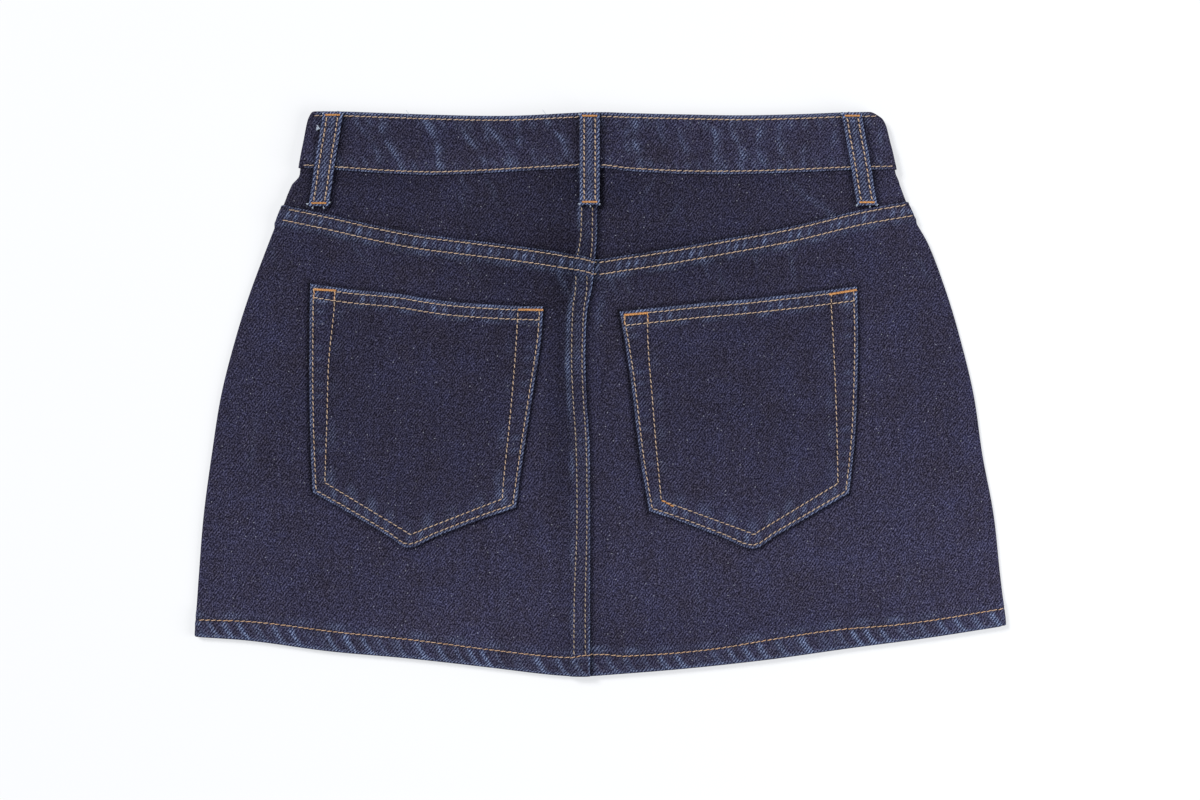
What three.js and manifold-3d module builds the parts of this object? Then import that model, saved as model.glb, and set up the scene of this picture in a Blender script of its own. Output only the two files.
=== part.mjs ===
// A dark denim mini skirt, laid flat with its back up, in millimetres. +X is the wearer's right, +Y
// runs to the waist, and z = 0 is the surface that the front of the skirt lies on. Every piece is a
// wall of cloth: rows of points carried along columns, both worked out from the sizes below.
import * as THREE from "three";
import { mergeVertices } from "three/addons/utils/BufferGeometryUtils.js";
import Module from "manifold-3d";

const { lerp, smoothstep, clamp, degToRad } = THREE.MathUtils;

// Cloth and the layers that it makes
const CLOTH = 1.0; // one layer of denim
const GAP = 0.3; // air between two layers that are sewn together
const LAYER = CLOTH + GAP; // rise of a layer that laps over another
const TURNED = 1.3; // the hem's turning, folded twice and pressed
const LOOP_CLOTH = 1.6; // a belt loop is a strip folded in three
const AIR = 1.0; // air between the back and the front of the body
const BAND_AIR = 0.4; // air between the back and the front of the waistband

// Seams and edges
const FELL = 10.5; // width of a lapped, twice-stitched seam
const FADE = 4; // the cloth comes down from a lap over this width
const LAP_CLEAR = 0.6; // what lies over a lap stays level this far past its edge
const HEM_DEPTH = 12.4;
const HEM_STEP = 0.8; // the hem's outer layer comes down from this far above the turning
const HEM_FADE = 6; // to this far above it
const SIDE_SEAM_INSET = 8; // the side seam lies this far under the skirt, measured from the fold
const SEAM_DEPTH = 11; // the yoke and the fronts reach this far into the waistband
const SEAM_FADE = 6; // above that the waistband thins out within this width
const DIP_START = 8; // the yoke and the fronts sink into the waistband from this far below it
const DIP_END = 2; // to this far below it
const YOKE_CLEAR = 2; // a row of the yoke runs this far above the panels' folded edge
const FRONT_DIP = 8; // the front waist is this much lower than the back one, at the centre
const FRONT_HEM_RISE = 4; // the front hem is this much higher than the back one, at the centre

// Closure at the centre front
const UNDERLAP = 35; // the right end of the waistband runs this far past the centre, inside
const LAP_RAMP = 12; // it climbs over the left end within this width
const BUTTON = { x: -14, above: 20, radius: 8.5, height: 1.6, shank: 1.5 };
const BUTTONHOLE = { length: 11, width: 3.4 };

// Belt loops, each from its middle at the waist to its middle at the lower end
const LOOP_WIDTH = 12.4;
const LOOP_END = 8; // length of the end that is folded under
const LOOP_END_CLOTH = 2.4;
const LOOP_STEP = 2; // the folded end thins out to the plain strip within this width
const LOOP_INSET = 0.4; // the loops end this far below the waistband's upper edge
const LOOP_CLEAR = 1; // a loop stays level this far past an edge that it crosses
const LOOP_DROP = 11; // a loop comes down from the waistband to the yoke within this width
const LOOPS = [
  { name: "belt_loop_back_left", top: -165.2, low: -174.5, end: 116.2 },
  { name: "belt_loop_back_centre", top: -6.8, low: -6.8, end: 116.7 },
  { name: "belt_loop_back_right", top: 154.9, low: 164.9, end: 116.7 },
];
const FRONT_LOOPS = [
  { name: "belt_loop_front_left", top: -88, low: -93 },
  { name: "belt_loop_front_right", top: 88, low: 93 },
];
const FRONT_LOOP_REACH = 23; // below the waistband

// The front loops and the button hold the waistband off the surface, and the fronts come down to it.
const REST = LOOP_CLOTH + GAP;
const REST_END = 26;
const REST_FADE = 36;

// Stacks of layers, inside to outside
const BAND_STACK = 2 * CLOTH + GAP; // the waistband folded on itself
const HEM_STACK = LAYER + TURNED;

// Where the two side folds stand at each height
const SIDES = [
  { y: -149, left: -252, right: 252.5 },
  { y: -112, left: -249.5, right: 248 },
  { y: -75, left: -246.5, right: 244 },
  { y: -37.5, left: -241.5, right: 237 },
  { y: 0, left: -235.5, right: 231.5 },
  { y: 37, left: -226, right: 222.5 },
  { y: 65, left: -217, right: 214 },
  { y: 92.5, left: -206.5, right: 203.5 },
  { y: 111, left: -199, right: 193 },
  { y: 129.5, left: -191.5, right: 185.5 },
  { y: 134, left: -187.8, right: 184.5 },
  { y: 139, left: -187.5, right: 183.5 },
  { y: 158, left: -184, right: 179 },
  { y: 170, left: -181.5, right: 175 },
  { y: 175, left: -179, right: 168 },
];

// The back hem's edge
const HEM = [
  { x: -252, y: -150.5 },
  { x: -217, y: -153 },
  { x: -168, y: -159.5 },
  { x: -118, y: -164 },
  { x: -69, y: -169.5 },
  { x: -31, y: -174 },
  { x: -12, y: -175 },
  { x: 6, y: -174 },
  { x: 55, y: -170 },
  { x: 105, y: -164.5 },
  { x: 155, y: -157.5 },
  { x: 204, y: -151 },
  { x: 252, y: -143.5 },
];

// The waistband's two edges across the back
const BAND = [
  { x: -188, top: 175, bottom: 140 },
  { x: -162, top: 175, bottom: 138.5 },
  { x: -133, top: 174, bottom: 136.5 },
  { x: -104, top: 173, bottom: 135.5 },
  { x: -75, top: 172.3, bottom: 136.5 },
  { x: -49, top: 172.3, bottom: 137.8 },
  { x: -14, top: 174, bottom: 139.6 },
  { x: 1, top: 174.3, bottom: 139.6 },
  { x: 17, top: 173.8, bottom: 137.8 },
  { x: 50, top: 173.2, bottom: 136.2 },
  { x: 85, top: 172.6, bottom: 136 },
  { x: 119, top: 173.2, bottom: 137 },
  { x: 154, top: 174.5, bottom: 138.5 },
  { x: 184, top: 174.8, bottom: 139 },
];

// The folded edge of the back panels, which lap over the yoke
const YOKE = [
  { x: -197, y: 117 },
  { x: -166, y: 110.5 },
  { x: -140, y: 104.5 },
  { x: -114, y: 99.5 },
  { x: -88, y: 96.2 },
  { x: -62, y: 93 },
  { x: -36, y: 89.5 },
  { x: -10, y: 85.2 },
  { x: -3, y: 83.4 },
  { x: 14, y: 85.7 },
  { x: 36, y: 89 },
  { x: 78, y: 96.3 },
  { x: 119, y: 104 },
  { x: 161, y: 114 },
  { x: 192, y: 119.5 },
];

// The edge of the left side at the centre back, which laps over the right one
const CENTRE_SEAM = [
  { y: -175, x: -6.6 },
  { y: -53, x: -6.6 },
  { y: -27, x: -7.1 },
  { y: -5, x: -8.5 },
  { y: 19, x: -9.5 },
  { y: 42, x: -9.1 },
  { y: 54, x: -8 },
  { y: 66, x: -5.4 },
  { y: 82, x: -3.7 },
  { y: 98, x: -2.3 },
  { y: 175, x: -2.3 },
];

// Each pocket's sides by height, and its mouth and lower edge by the share of its width
const POCKETS = {
  left: {
    sides: [
      { y: -95, left: -178, right: -56 },
      { y: -70, left: -178, right: -52.5 },
      { y: -61, left: -178.5, right: -51.3 },
      { y: -31, left: -179.8, right: -47 },
      { y: 1, left: -180.5, right: -42 },
      { y: 34, left: -180.5, right: -37 },
      { y: 54, left: -180.3, right: -35.6 },
      { y: 69, left: -180, right: -35 },
    ],
    edges: [
      { share: 0, mouth: 68.6, low: -61 },
      { share: 0.16, mouth: 65.2, low: -72.5 },
      { share: 0.38, mouth: 62.2, low: -88.3 },
      { share: 0.48, mouth: 59.8, low: -95.3 },
      { share: 0.61, mouth: 57.3, low: -88.6 },
      { share: 0.83, mouth: 55.1, low: -77.8 },
      { share: 1, mouth: 54.3, low: -70.2 },
    ],
  },
  right: {
    sides: [
      { y: -96, left: 32.5, right: 152 },
      { y: -73, left: 30.1, right: 153 },
      { y: -61, left: 28, right: 154 },
      { y: -40, left: 24.6, right: 156.4 },
      { y: -21, left: 22.2, right: 158 },
      { y: 10, left: 18.5, right: 159.2 },
      { y: 34, left: 14.8, right: 159.6 },
      { y: 51, left: 11.8, right: 159.3 },
      { y: 67, left: 10, right: 158.9 },
    ],
    edges: [
      { share: 0, mouth: 51.1, low: -72.6 },
      { share: 0.13, mouth: 53.2, low: -78 },
      { share: 0.37, mouth: 56.8, low: -89.3 },
      { share: 0.52, mouth: 58.6, low: -95.8 },
      { share: 0.64, mouth: 60.5, low: -87.5 },
      { share: 0.79, mouth: 63, low: -77 },
      { share: 1, mouth: 66.9, low: -61.5 },
    ],
  },
};
const POCKET_RIM = 9; // the edges are turned under by this much
const POCKET_RIM_FADE = 3.5;
const POCKET_WIDTH = 130;
const POCKET_HEIGHT = 135;
const POCKET_STOPS = [0.28, 0.48, 0.66]; // shares of the way between the rims

// The closure makes the back bulge: how much, by the distance below the waistband's lower edge
const BULGE = [
  { below: -40, height: 2.6 },
  { below: 10, height: 2.6 },
  { below: 45, height: 1.6 },
  { below: 105, height: 0.9 },
  { below: 140, height: 0 },
];
const BULGE_MIDDLE = -15;
const BULGE_FLAT = 23; // it is level this far to each side of its middle
const BULGE_END = 65;

// The back comes down from the waistband's height to the body's between these distances below it
const SLOPE_START = 14;
const SLOPE_END = 74;

// Half widths over which the front's waist dips and its hem rises
const HALF_WAIST = 180;
const HALF_HEM = 250;

// Soft swells and hollows of the back where it lies on the front
const SWELLS = [
  { x: -30, y: 30, angle: 84, long: 60, wide: 16, height: -0.5 },
  { x: 22, y: 0, angle: 94, long: 80, wide: 14, height: -0.35 },
  { x: -75, y: 112, angle: 28, long: 55, wide: 15, height: -0.4 },
  { x: 70, y: 112, angle: -28, long: 55, wide: 15, height: -0.4 },
  { x: -205, y: 20, angle: 72, long: 80, wide: 22, height: 0.5 },
  { x: 200, y: 0, angle: -74, long: 85, wide: 22, height: 0.5 },
  { x: -112, y: -128, angle: 80, long: 34, wide: 16, height: 0.5 },
  { x: 95, y: -126, angle: -76, long: 34, wide: 18, height: 0.5 },
  { x: -205, y: -100, angle: 60, long: 60, wide: 20, height: -0.4 },
  { x: 190, y: -100, angle: -50, long: 60, wide: 20, height: -0.4 },
];

// Reads a column of a table at a place between its rows, on a smooth curve through them.
function read(table, by, name, at) {
  let i = 0;
  while (i < table.length - 2 && table[i + 1][by] < at) i++;
  const slopeAt = (k) => {
    const before = table[Math.max(k - 1, 0)];
    const after = table[Math.min(k + 1, table.length - 1)];
    return (after[name] - before[name]) / (after[by] - before[by]);
  };
  const [p, q] = [table[i], table[i + 1]];
  const span = q[by] - p[by];
  const t = clamp((at - p[by]) / span, 0, 1);
  const bend = t * t * (3 - 2 * t);
  const leave = t * (1 - t) * (1 - t) * span * slopeAt(i);
  const arrive = t * t * (t - 1) * span * slopeAt(i + 1);
  return lerp(p[name], q[name], bend) + leave + arrive;
}

// Outlines. The front has its own waist and hem, which meet those of the back at the side folds.
const edge = (side, y) => read(SIDES, "y", side < 0 ? "left" : "right", y);
const centreShare = (x, half) => 1 - Math.min(1, (x / half) ** 2);
const dip = (x, front) => (front ? FRONT_DIP * centreShare(x, HALF_WAIST) : 0);
const hemRise = (x, front) => (front ? FRONT_HEM_RISE * centreShare(x, HALF_HEM) : 0);
const bandBottom = (x, front) => read(BAND, "x", "bottom", x) - dip(x, front);
const bandTop = (x, front) => read(BAND, "x", "top", x) - dip(x, front);
const hem = (x, front) => read(HEM, "x", "y", x) + hemRise(x, front);
const yoke = (x) => read(YOKE, "x", "y", x);
const centreSeam = (y) => read(CENTRE_SEAM, "y", "x", y);
const shifted = (curve, up) => (x, front) => curve(x, front) + up;
const between = (low, high, share) => (x, front) => lerp(low(x, front), high(x, front), share);

// Thickness of the waistband at a height above its lower edge, where the seam's layers make it plump
const bandStack = (above, plump = 1) =>
  BAND_STACK + plump * LAYER * (1 - smoothstep(above, SEAM_DEPTH, SEAM_DEPTH + SEAM_FADE));

// How far into the waistband a point is, from 0 just outside it to 1
const inBand = (above) => smoothstep(above, -DIP_START, -DIP_END);

// How far into the hem a point is, from 0 above it to 1
const inHem = (above) => 1 - smoothstep(above, HEM_DEPTH + HEM_STEP, HEM_DEPTH + HEM_FADE);

// Thickness of the cloth that covers one side of the skirt
function stack(x, y, front) {
  const above = y - bandBottom(x, front);
  const band = (bandStack(above) - CLOTH) * inBand(above);
  return CLOTH + band + (HEM_STACK - CLOTH) * inHem(y - hem(x, front));
}

// Height of the front's outer face, which lies on the surface or is held off it at the waist
const frontOuter = (x, y) =>
  REST * (1 - smoothstep(bandBottom(x, true) - y, REST_END, REST_END + REST_FADE));

// Height of the front's inner face
const frontBase = (x, y) => frontOuter(x, y) + stack(x, y, true);

// Height of the back's inner face: level behind the waistband, low over the body, with the bulge of
// the closure, the thicker hem and the swells added.
function backBase(x, y) {
  const below = bandBottom(x, false) - y;
  const waist = REST + bandStack(0) + BAND_AIR;
  const body = CLOTH + AIR;
  const nearHem = 1 - smoothstep(y - hem(x, false), HEM_DEPTH + HEM_STEP, 2 * HEM_DEPTH);
  let z = lerp(waist, body, smoothstep(below, SLOPE_START, SLOPE_END));
  z += (HEM_STACK + BAND_AIR - body) * nearHem;
  const aside = Math.abs(x - BULGE_MIDDLE);
  z += read(BULGE, "below", "height", below) * (1 - smoothstep(aside, BULGE_FLAT, BULGE_END));
  for (const swell of SWELLS) {
    const angle = degToRad(swell.angle);
    const [dx, dy] = [x - swell.x, y - swell.y];
    const along = (dx * Math.cos(angle) + dy * Math.sin(angle)) / swell.long;
    const off = (dy * Math.cos(angle) - dx * Math.sin(angle)) / swell.wide;
    z += swell.height * Math.exp(-(along ** 2) - off ** 2);
  }
  return z;
}

// The side fold at a height: the middle of its round, and the radius of its inner face
function fold(side, y) {
  const x = edge(side, y);
  const [low, high] = [frontBase(x, y), backBase(x, y)];
  const inner = (high - low) / 2;
  return { x: x - side * (inner + stack(x, y, false)), z: (low + high) / 2, inner };
}

// Columns. Each says where a point of a given height stands across the skirt.
const seamColumn = (offset) => ({ x: (y) => centreSeam(y) + offset, offset });
const backColumn = (side, start, share) => ({
  x: (y) => lerp(centreSeam(y) + start, fold(side, y).x, share),
});
const foldColumn = (side, turn) => ({ side, turn, x: (y) => edge(side, y) });
const frontColumn = (side, start, share, inset = 0) => ({
  front: true,
  x: (y) => lerp(start, fold(side, y).x - side * inset, share),
});
const steps = (count) => Array.from({ length: count }, (_, i) => i + 1);
const FOLD_STEPS = 6;
const foldColumns = (side) =>
  [0, ...steps(FOLD_STEPS)].map((i) => foldColumn(side, (Math.PI * i) / FOLD_STEPS));

// The point of a column at a height, lifted off the inner face of its side of the skirt
function point(column, y, lift) {
  if (column.turn !== undefined) {
    const { x, z, inner } = fold(column.side, y);
    const radius = inner + lift;
    const out = column.side * radius * Math.sin(column.turn);
    return new THREE.Vector3(x + out, y, z + radius * Math.cos(column.turn));
  }
  const x = column.x(y);
  return new THREE.Vector3(x, y, column.front ? frontBase(x, y) - lift : backBase(x, y) + lift);
}

// The height at which a column meets a curve across the skirt
function heightOn(column, curve) {
  let y = 0;
  for (let i = 0; i < 8; i++) y = curve(column.x(y), column.front === true);
  return y;
}

// A row of a wall: the curve that it follows, the lift of its outer and inner faces, and how much
// higher the whole row lies on the layers beneath it.
const row = (curve, outer, inner, rise = () => 0) => (column) => {
  const y = heightOn(column, curve);
  const more = rise(column, y);
  return [outer, inner].map((lift) => point(column, y, lift + more));
};

// The rows round a folded edge, from the outer layer to the inner one. The slit between the two
// layers is GAP wide, and up is 1 where the cloth lies above the edge and -1 where it lies below.
const ROLL_STEPS = 4;
const roll = (curve, up, thickness, slit, rise = () => 0) =>
  [0, ...steps(ROLL_STEPS)].map((i) => (column) => {
    const turn = (Math.PI * i) / ROLL_STEPS;
    const middle = heightOn(column, curve) + (up * thickness) / 2;
    const more = rise(column, middle);
    const arc = (radius, lift) =>
      point(column, middle - up * radius * Math.sin(turn), lift + radius * Math.cos(turn) + more);
    return [arc(thickness / 2, thickness / 2), arc(GAP / 2, slit)];
  });

// A closed mesh with its faces outwards
function solid(positions, index) {
  const geometry = new THREE.BufferGeometry();
  geometry.setAttribute("position", new THREE.Float32BufferAttribute(positions, 3));
  const corner = (i) => new THREE.Vector3().fromArray(positions, 3 * i);
  let volume = 0;
  for (let i = 0; i < index.length; i += 3) {
    volume += corner(index[i]).cross(corner(index[i + 1])).dot(corner(index[i + 2]));
  }
  geometry.setIndex(volume < 0 ? index.toReversed() : index);
  geometry.computeVertexNormals();
  return geometry;
}

// A wall of cloth. Each row gives every column a point on the outer face and one on the inner face.
function wall(columns, rows) {
  const positions = columns.flatMap((column) => rows.flatMap((at) => at(column).flatMap((p) => p.toArray())));
  const at = (c, r, face) => 2 * (c * rows.length + r) + face;
  const index = [];
  const quad = (a, b, c, d) => index.push(a, b, c, a, c, d);
  const lastRow = rows.length - 1;
  const lastColumn = columns.length - 1;
  for (let c = 0; c < lastColumn; c++) {
    for (let r = 0; r < lastRow; r++) {
      quad(at(c, r, 0), at(c + 1, r, 0), at(c + 1, r + 1, 0), at(c, r + 1, 0));
      quad(at(c, r, 1), at(c, r + 1, 1), at(c + 1, r + 1, 1), at(c + 1, r, 1));
    }
    quad(at(c, 0, 0), at(c, 0, 1), at(c + 1, 0, 1), at(c + 1, 0, 0));
    quad(at(c, lastRow, 0), at(c + 1, lastRow, 0), at(c + 1, lastRow, 1), at(c, lastRow, 1));
  }
  for (let r = 0; r < lastRow; r++) {
    quad(at(0, r, 0), at(0, r + 1, 0), at(0, r + 1, 1), at(0, r, 1));
    quad(at(lastColumn, r, 0), at(lastColumn, r, 1), at(lastColumn, r + 1, 1), at(lastColumn, r + 1, 0));
  }
  return solid(positions, index);
}

// How far the felled centre seam stands up, by the place across it: from 0 clear of it to 1
function hump({ offset }) {
  if (offset === undefined) return 0;
  const up = clamp((offset + FELL + FADE) / FADE, 0, 1);
  const down = clamp((LAP_CLEAR + FADE - offset) / FADE, 0, 1);
  return up * down;
}

// The columns of a back piece, from the centre seam round the side fold to the side seam. The left
// piece ends in the lap, and the right one runs in under it.
const BODY_COLUMNS = 9;
function backColumns(side) {
  const seam = side < 0 ? [0, -FELL, -FELL - FADE] : [-FELL + GAP, LAP_CLEAR, LAP_CLEAR + FADE];
  const start = seam.at(-1);
  const body = steps(BODY_COLUMNS).map((i) => backColumn(side, start, i / (BODY_COLUMNS + 1)));
  const under = { front: true, x: (y) => fold(side, y).x - side * SIDE_SEAM_INSET };
  return [...seam.map(seamColumn), ...body, ...foldColumns(side), under];
}

// The rows of a panel's turned-up hem, from the body down the outer layer and up the inner one
const hemRows = (rise = () => () => 0) => [
  row(shifted(hem, HEM_DEPTH + HEM_FADE), CLOTH, 0, rise(0)),
  row(shifted(hem, HEM_DEPTH + HEM_STEP), HEM_STACK, HEM_STACK - CLOTH, rise(1)),
  ...roll(hem, 1, HEM_STACK, TURNED + GAP / 2, rise(1)),
  row(shifted(hem, HEM_DEPTH), 0, TURNED, rise(1)),
];

// Curves that the back and the front share, so that they meet along the side seams
const caughtEdge = shifted(bandBottom, SEAM_DEPTH - 1);
const bandEdge = shifted(bandBottom, -DIP_END);
const yokeTop = shifted(bandBottom, -DIP_START);
const yokeLow = shifted(yoke, YOKE_CLEAR);
const yokeMiddle = between(yokeTop, yokeLow, 0.5);
const lapLow = shifted(yoke, -FELL);
const bodyTop = shifted(yoke, -FELL - FADE);
const bodyLow = shifted(hem, HEM_DEPTH + HEM_FADE);
const BODY_ROWS = 7;
const bodyCurves = steps(BODY_ROWS).map((i) => between(bodyTop, bodyLow, i / (BODY_ROWS + 1)));

// A back panel: its folded upper edge laps over the yoke, and the left one laps over the right one.
function backPanel(side) {
  const over = (lapped, hemmed) => (column) => {
    const thickness = hemmed ? HEM_STACK : CLOTH;
    const centre = side < 0 ? (thickness + GAP) * hump(column) : 0;
    return LAYER * lapped * (1 + hump(column)) + centre;
  };
  return wall(backColumns(side), [
    row(yoke, CLOTH, 0, over(1, false)),
    row(lapLow, CLOTH, 0, over(1, false)),
    ...[bodyTop, ...bodyCurves].map((curve) => row(curve, CLOTH, 0, over(0, false))),
    ...hemRows((hemmed) => over(0, hemmed === 1)),
  ]);
}

// A back yoke: its upper edge is caught in the waistband, and its lower edge ends under the panel.
function backYoke(side) {
  const rise = (column) => (side < 0 ? LAYER * hump(column) : 0);
  return wall(backColumns(side), [
    ...[caughtEdge, bandEdge].map((curve) => row(curve, CLOTH + LAYER, LAYER, rise)),
    ...[yokeTop, yokeMiddle, yokeLow].map((curve) => row(curve, CLOTH, 0, rise)),
    row(shifted(lapLow, GAP), CLOTH, 0, rise),
  ]);
}

// A front panel, flat on the surface from the centre front to the side seam under the fold. Beside
// the closure the right one's upper edge ends below the waistband.
const FRONT_COLUMNS = 7;
function frontPanel(side) {
  const inset = SIDE_SEAM_INSET + GAP;
  const starts = side < 0 ? [-GAP / 2, -UNDERLAP] : [GAP / 2, LAP_RAMP, 2 * LAP_RAMP];
  const columns = [
    ...starts.map((x) => ({ front: true, x: () => x })),
    ...steps(FRONT_COLUMNS).map((i) => frontColumn(side, starts.at(-1), i / FRONT_COLUMNS, inset)),
  ];
  const tuck = (x) => (side < 0 ? 1 : clamp((x - LAP_RAMP) / LAP_RAMP, 0, 1));
  const caught = (x, front) => lerp(bandEdge(x, front) + GAP, caughtEdge(x, front), tuck(x));
  const flat = [yokeTop, yokeMiddle, yokeLow, lapLow, bodyTop, ...bodyCurves];
  return wall(columns, [
    ...[caught, bandEdge].map((curve) => row(curve, CLOTH + LAYER, LAYER)),
    ...flat.map((curve) => row(curve, CLOTH, 0)),
    ...hemRows(),
  ]);
}

// The fly shield, a strip inside the left front, from the waistband down
function flyShield() {
  const columns = [-GAP / 2, -UNDERLAP / 2, -UNDERLAP + LAYER].map((x) => ({ front: true, x: () => x }));
  const free = [yokeTop, yokeMiddle, yokeLow, lapLow, bodyTop, bodyCurves[0]];
  return wall(columns, [
    row(bandEdge, CLOTH, 0),
    ...free.map((curve) => row(curve, -GAP, -LAYER)),
  ]);
}

// The waistband: a strip folded along its upper edge, from the underlap at the centre front round
// the right side, across the back and round the left side to the lap. The seam's layers lie between
// its outer and inner walls.
function waistband() {
  const level = (x, climb, plump) => ({ front: true, x: () => x, climb, plump });
  const [back, front] = [7, 4];
  const columns = [
    level(-UNDERLAP, 1, 0),
    level(-UNDERLAP / 2, 1, 0),
    level(GAP, 1, 0),
    level(LAP_RAMP, 0, 1),
    ...steps(front).map((i) => frontColumn(1, LAP_RAMP, i / (front + 1))),
    ...foldColumns(1).toReversed(),
    ...steps(back).map((i) => backColumn(1, LAP_CLEAR + FADE, 1 - i / (back + 1))),
    ...[LAP_CLEAR + FADE, LAP_CLEAR, -FELL, -FELL - FADE].map(seamColumn),
    ...steps(back).map((i) => backColumn(-1, -FELL - FADE, i / (back + 1))),
    ...foldColumns(-1),
    ...steps(front).map((i) => frontColumn(-1, -BUTTON.radius, 1 - i / (front + 1))),
    level(2 * BUTTON.x, 0, 1),
    level(-GAP, 0, 1),
  ].map((column) => ({ climb: 0, plump: 1, ...column }));

  // Lifts are counted inwards from the outer face, so that the walls follow the stack's thickness.
  const band = (curve, outer, inner) => (column) => {
    const y = heightOn(column, curve);
    const above = y - bandBottom(column.x(y), column.front === true);
    const thickness = bandStack(above, column.plump);
    const climb = column.climb * (bandStack(above) + GAP);
    const offset = bandStack(above) - thickness - climb;
    const ridge = ((bandStack(above) - BAND_STACK) * hump(column)) / LAYER;
    const lift = ({ wall: side, depth }) =>
      side === "outer" ? thickness + LAYER * ridge - depth : CLOTH - depth;
    return [outer, inner].map((face) => point(column, y, lift(face) + offset));
  };
  const outerWall = (curve) => band(curve, { wall: "outer", depth: 0 }, { wall: "outer", depth: CLOTH });
  const innerWall = (curve) => band(curve, { wall: "inner", depth: CLOTH }, { wall: "inner", depth: 0 });
  const climbing = ({ climb }) => -climb * (BAND_STACK + GAP);
  const levels = [0, SEAM_DEPTH / 2, SEAM_DEPTH, SEAM_DEPTH + SEAM_FADE];
  return wall(columns, [
    ...levels.map((up) => outerWall(shifted(bandBottom, up))),
    ...roll(bandTop, -1, BAND_STACK, BAND_STACK / 2, climbing),
    ...levels.slice(1).toReversed().map((up) => innerWall(shifted(bandBottom, up))),
    innerWall(shifted(bandBottom, -DIP_END / 2)),
  ]);
}

// A patch pocket, moved out from the back panel's points. Its edges are turned under, so its rim is
// twice as thick as its middle.
function pocket({ sides, edges }) {
  const stops = (length) => {
    const rim = POCKET_RIM / length;
    const inside = (POCKET_RIM + POCKET_RIM_FADE) / length;
    return [0, rim, inside, ...POCKET_STOPS, 1 - inside, 1 - rim, 1];
  };
  const rimAt = (list, i) => i < 2 || i > list.length - 3;
  const acrossStops = stops(POCKET_WIDTH);
  const downStops = stops(POCKET_HEIGHT);
  const columns = acrossStops.map((share, i) => ({ share, rim: rimAt(acrossStops, i) }));
  const rows = downStops.map((down, i) => ({ share, rim }) => {
    const mouth = read(edges, "share", "mouth", share);
    const low = read(edges, "share", "low", share);
    const y = lerp(mouth, low, down);
    const x = lerp(read(sides, "y", "left", y), read(sides, "y", "right", y), share);
    const thickness = rim || rimAt(downStops, i) ? 2 * CLOTH : CLOTH;
    const spot = { x: () => x };
    return [point(spot, y, LAYER + thickness), point(spot, y, LAYER)];
  });
  return wall(columns, rows);
}

// A strip across four columns with softened long edges, used for the belt loops
const LOOP_EDGE = 1.2;
const LOOP_SOFT = 0.5;
const loopColumns = [
  { across: -LOOP_WIDTH / 2, soft: LOOP_SOFT },
  { across: -LOOP_WIDTH / 2 + LOOP_EDGE, soft: 0 },
  { across: LOOP_WIDTH / 2 - LOOP_EDGE, soft: 0 },
  { across: LOOP_WIDTH / 2, soft: LOOP_SOFT },
];

// A back belt loop: down the waistband, over its lower edge and onto the yoke, with both ends
// folded under. The centre one lies on the felled seam.
function backLoop({ top, low, end }) {
  const middle = (y) => lerp(low, top, (y - end) / (bandTop(top, false) - end));
  const ridge = Math.abs(top - centreSeam(bandTop(top, false))) < FELL ? LAYER : 0;
  const high = bandTop(top, false) - LOOP_INSET;
  const edgeHeight = bandBottom(lerp(top, low, 0.5), false);
  const onBand = BAND_STACK + GAP;
  const onSeam = BAND_STACK + LAYER + ridge + GAP;
  const onYoke = LAYER + ridge;
  const course = [
    { y: high, lift: onBand, thick: LOOP_END_CLOTH },
    { y: high - LOOP_END, lift: onBand, thick: LOOP_END_CLOTH },
    { y: edgeHeight + SEAM_DEPTH + SEAM_FADE + LOOP_CLEAR, lift: onBand, thick: LOOP_CLOTH },
    { y: edgeHeight + SEAM_DEPTH + LOOP_CLEAR, lift: onSeam, thick: LOOP_CLOTH },
    { y: edgeHeight - LOOP_CLEAR, lift: onSeam, thick: LOOP_CLOTH },
    { y: edgeHeight - LOOP_DROP, lift: onYoke, thick: LOOP_CLOTH },
    { y: end + LOOP_END + LOOP_STEP, lift: onYoke, thick: LOOP_CLOTH },
    { y: end + LOOP_END, lift: onYoke, thick: LOOP_END_CLOTH },
    { y: end, lift: onYoke, thick: LOOP_END_CLOTH },
  ];
  const rows = course.map(({ y, lift, thick }) => ({ across, soft }) => {
    const spot = { x: () => middle(y) + across };
    return [point(spot, y, lift + thick - soft), point(spot, y, lift)];
  });
  return wall(loopColumns, rows);
}

// A front belt loop, a flat strip on the surface
function frontLoop({ top, low }) {
  const start = bandTop(top, true) - LOOP_INSET;
  const end = bandBottom(low, true) - FRONT_LOOP_REACH;
  const stops = [0, 1 / 3, 2 / 3, 1];
  const rows = stops.map((share) => ({ across }) => {
    const [x, y] = [lerp(top, low, share) + across, lerp(start, end, share)];
    return [new THREE.Vector3(x, y, 0), new THREE.Vector3(x, y, LOOP_CLOTH)];
  });
  return wall(loopColumns, rows);
}

// The button: a flat cap on the surface and a shank that reaches up through the buttonhole
function waistButton() {
  const { radius, height, shank } = BUTTON;
  const tip = REST + BAND_STACK;
  const profile = [
    [0, 0],
    [radius - 1, 0],
    [radius, 0.6],
    [radius, height - 0.4],
    [radius - 0.6, height],
    [shank, height],
    [shank, tip],
    [0, tip],
  ].map(([r, z]) => new THREE.Vector2(r, z));
  return new THREE.LatheGeometry(profile, 24).rotateX(Math.PI / 2);
}

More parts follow.
